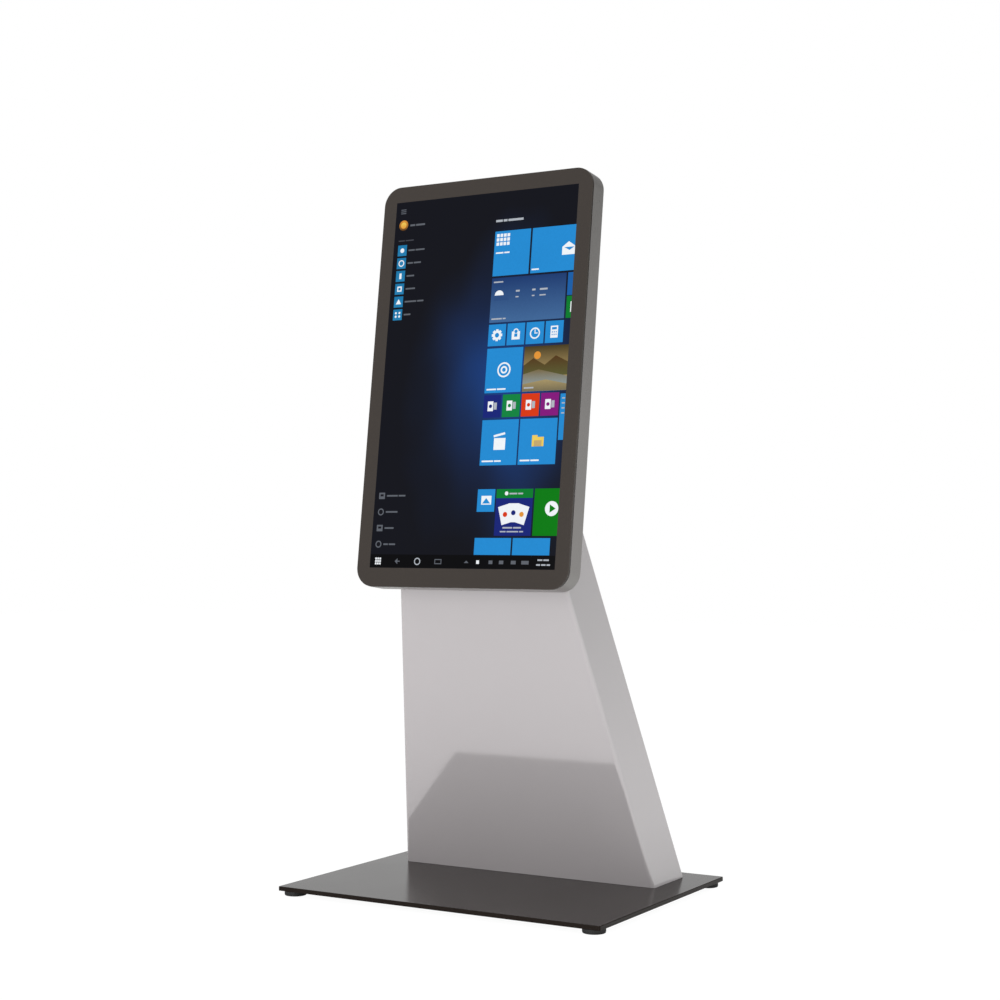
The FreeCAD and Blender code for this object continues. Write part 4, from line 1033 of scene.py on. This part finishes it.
def slottedPlate(bm, columns, rows, openings, back, front):
    # a flat plate on a grid of cuts, with some of its cells left open
    cells = {(i, j) for i in range(len(columns) - 1) for j in range(len(rows) - 1)} - set(openings)
    made = {}

    def corner(spot, y):
        if (spot, y) not in made:
            made[spot, y] = bm.verts.new((columns[spot[0]], y, rows[spot[1]]))
        return made[spot, y]

    for i, j in sorted(cells):
        ring = ((i, j), (i + 1, j), (i + 1, j + 1), (i, j + 1))
        sides = ((i, j - 1), (i + 1, j), (i, j + 1), (i - 1, j))
        faces = [[corner(c, front) for c in ring], [corner(c, back) for c in ring[::-1]]]
        faces += [[corner(a, front), corner(a, back), corner(b, back), corner(b, front)]
                  for a, b, beyond in zip(ring, ring[1:] + ring[:1], sides) if beyond not in cells]
        for face in faces:
            bm.faces.new(face)


def turned(bm, profile, at, axis, steps=24):
    # a round part: radius and distance along its axis, from one end to the other
    way = Vector(axis).to_track_quat("Z", "Y").to_matrix().to_4x4()
    loft(bm, [[Vector(at) + way @ Vector((x, y, along)) for x, y in circlePoints(radius, steps)]
              for radius, along in profile])


computer = {
    "strip": (-85, -59.6, 303, 85, -58.4, 317), "edge": 0.25, "ports": (-66, -44), "portSize": (13.4, 6),
    "tongueInset": 1.4, "tongueHigh": (-0.2, 1.8), "tongueSunk": (0.5, 0.3),
    "vents": 14, "ventPitch": 4.6, "ventHalf": 0.9, "ventMiddle": 4, "sunk": 0.2,
    "buttonAt": 66, "buttonRadius": 4.6, "buttonSteps": 32,
    "buttonProfile": ((-0.4, 0), (0, 0.4), (0, 0.9), (-0.5, 1.3), (-1.2, 1.1)),
    "lampAt": (54, 48), "lampProfile": ((1.2, 0), (1.2, 0.5), (0.8, 0.8)), "lampSteps": 16,
    "lampColour": (0.1, 0.75, 0.25), "lampStrength": 1.2,
}


def makeComputerFront():
    c = computer
    left, back, low, right, front, high = c["strip"]
    wide, tall = c["portSize"]
    middle, outward = (low + high) / 2, (0, 1, 0)
    columns, openings = [left], []
    firstVent = c["ventMiddle"] - (c["vents"] - 1) * c["ventPitch"] / 2
    slots = [(x, wide / 2) for x in c["ports"]]
    slots += [(firstVent + c["ventPitch"] * i, c["ventHalf"]) for i in range(c["vents"])]
    for x, half in slots:
        openings.append((len(columns), 1))
        columns += [x - half, x + half]
    rows = [low, middle - tall / 2, middle + tall / 2, high]
    bm = bmesh.new()
    slottedPlate(bm, columns + [right], rows, openings, back, front)
    strip = newPiece("computerFront", bm, "kiosk", "case_metal", 30, backFrame)
    soften(strip, c["edge"])

    bm = bmesh.new()
    half, (tongueBack, tongueFront) = wide / 2 - c["tongueInset"], c["tongueSunk"]
    for x in c["ports"]:
        slottedPlate(bm, [x - half, x + half], [middle + z for z in c["tongueHigh"]], (), back - tongueBack,
                     front - tongueFront)
    turned(bm, [(c["buttonRadius"] + wider, along) for wider, along in c["buttonProfile"]],
           (c["buttonAt"], front - c["sunk"], middle), outward, c["buttonSteps"])
    newPiece("computerButtons", bm, "kiosk", "black_plastic", 40, backFrame)

    bm = bmesh.new()
    for x in c["lampAt"]:
        turned(bm, c["lampProfile"], (x, front - c["sunk"], middle), outward, c["lampSteps"])
    lamp = makeFinish("lampGreen", c["lampColour"], 0.25, grain=600, tone=0.04, shine=c["lampStrength"])
    newPiece("computerLamps", bm, "kiosk", "black_plastic", 40, backFrame, [lamp])


def makeSupplyCover():
    # one square cell with a round hole, repeated over the face of the case
    c = supply
    half = c["pitch"] / 2
    outer = [(half * x, half * y) for x, y in
             ((1, 0), (1, 1), (0, 1), (-1, 1), (-1, 0), (-1, -1), (0, -1), (1, -1))]
    hole = circlePoints(c["hole"], c["holeSteps"])
    bm = bmesh.new()
    loft(bm, [[(x * mm, y * mm, z * mm) for x, y in loop] for loop, z in
              ((outer, 0), (hole, 0), (hole, c["thick"]), (outer, c["thick"]))], ends=False)
    cell = looseObject("supplyCell", bm)
    spots = [(c["left"] + c["pitch"] * (i + 0.5), c["face"], c["low"] + c["pitch"] * (j + 0.5))
             for i in range(c["across"]) for j in range(c["up"])]
    scatter("supplyCover", cell, spots, backFrame, (0, 1, 0), "kiosk", "zinc_steel", turn=0, smooth=30,
            joined=True)
    bpy.data.objects.remove(cell)


leads = {
    # a ribbed sleeve, as radius and distance along the lead
    "boot": ((5.6, 0), (5.6, 5), (4.8, 5.6), (4.8, 7), (5.2, 7.4), (5.2, 8.8), (4.4, 9.4), (4.4, 10.8),
             (4.8, 11.2), (4.8, 12.6), (4.0, 13.2), (4.0, 14.6), (3.2, 17)),
    "boots": (((13, -82, 200), (1, 0, 0)), ((-36, -82, 140), (0, 0, -1)), ((-12, -28, 42), (0, -1, 0))),
    "plug": (-41, -84, 460, -19, -72, 464.8), "edge": 0.25,
}


def makeLeadEnds():
    bm = bmesh.new()
    for at, axis in leads["boots"]:
        turned(bm, leads["boot"], at, axis)
    left, back, low, right, front, high = leads["plug"]
    slottedPlate(bm, [left, right], [low, high], (), back, front)
    ends = newPiece("leadEnds", bm, "kiosk", "cable_rubber", 30, backFrame)
    soften(ends, leads["edge"], 50)


rocker = {
    "at": (14, -3, 42), "turn": 8, "slope": 10.54, "half": 4.3, "faceHigh": 4.7, "proud": 0.12, "sunk": 0.1,
    "bar": (0.4, 2.2), "ring": (1.6, 2.3), "ringSteps": 32,
}


def makeRockerMarks():
    # a bar on one half of the rocker and a ring on the other
    r = rocker
    rockerFrame = backFrame @ leaningFrame(r["at"], r["turn"])
    paint = makeFinish("markPaint", (0.7, 0.7, 0.68), 0.4, tone=0.05)
    upper = rockerFrame @ leaningFrame((0, r["faceHigh"], r["half"]), -r["slope"])
    lower = rockerFrame @ leaningFrame((0, r["faceHigh"], -r["half"]), r["slope"])
    across, tall = r["bar"]
    bm = bmesh.new()
    slottedPlate(bm, [-across, across], [-tall, tall], (), -r["sunk"], r["proud"])
    newPiece("rockerBar", bm, "rocker", "black_plastic", 40, upper, [paint])
    inner, outer = r["ring"]
    section = ((inner, -r["sunk"]), (outer, -r["sunk"]), (outer, r["proud"]), (inner, r["proud"]))
    bm = bmesh.new()
    loft(bm, [[(x, y, z) for x, z in circlePoints(radius, r["ringSteps"])]
              for radius, y in section], ring=True)
    newPiece("rockerRing", bm, "rocker", "black_plastic", 40, lower, [paint])


feet = {
    "across": 311.5, "along": 230, "radius": 19.6, "ribs": 40, "ribSides": 6, "ribRadius": 0.9, "ribTip": 0.4,
    "ribLow": 1.4, "ribHigh": 7.2,
}


def makePadRibs():
    f = feet
    bm = bmesh.new()
    low, high, bulge = f["ribLow"] * mm, f["ribHigh"] * mm, f["ribRadius"] * mm
    tip = bulge * f["ribTip"]
    loft(bm, [[(x, y, z) for x, y in circlePoints(radius, f["ribSides"])]
              for radius, z in ((tip, low), (bulge, low + bulge), (bulge, high - bulge), (tip, high))])
    rib = looseObject("padRib", bm)
    ring = circlePoints(f["radius"], f["ribs"])
    for end, y in (("front", -f["along"]), ("back", f["along"])):
        for side, x in (("left", -f["across"]), ("right", f["across"])):
            scatter("padRibs" + end.title() + side.title(), rib, [(x + dx, y + dy, 0) for dx, dy in ring],
                    Matrix.Identity(4), (0, 0, 1), "foot_" + end + "_" + side, "foot_plastic", turn=0)
    bpy.data.objects.remove(rib)


def dressNodes():
    # every node that is still shown gets the finish of its slot
    for name, node in cadNodes.items():
        if not node.hide_render:
            node.data.materials.clear()
            node.data.materials.append(finishes[slotOf[name]])


setUpStudio()
print("studio ready")
makeHeadFrame()
makeCoverGlass()
makeScreenPicture()
print("head ready")
makeColumnShell()
for node, edge in refined.items():
    refine(node, edge)
print("metalwork ready")
makeScrews()
makeComputerFront()
makeSupplyCover()
makeLeadEnds()
makeRockerMarks()
makePadRibs()
dressNodes()
print("fittings ready")
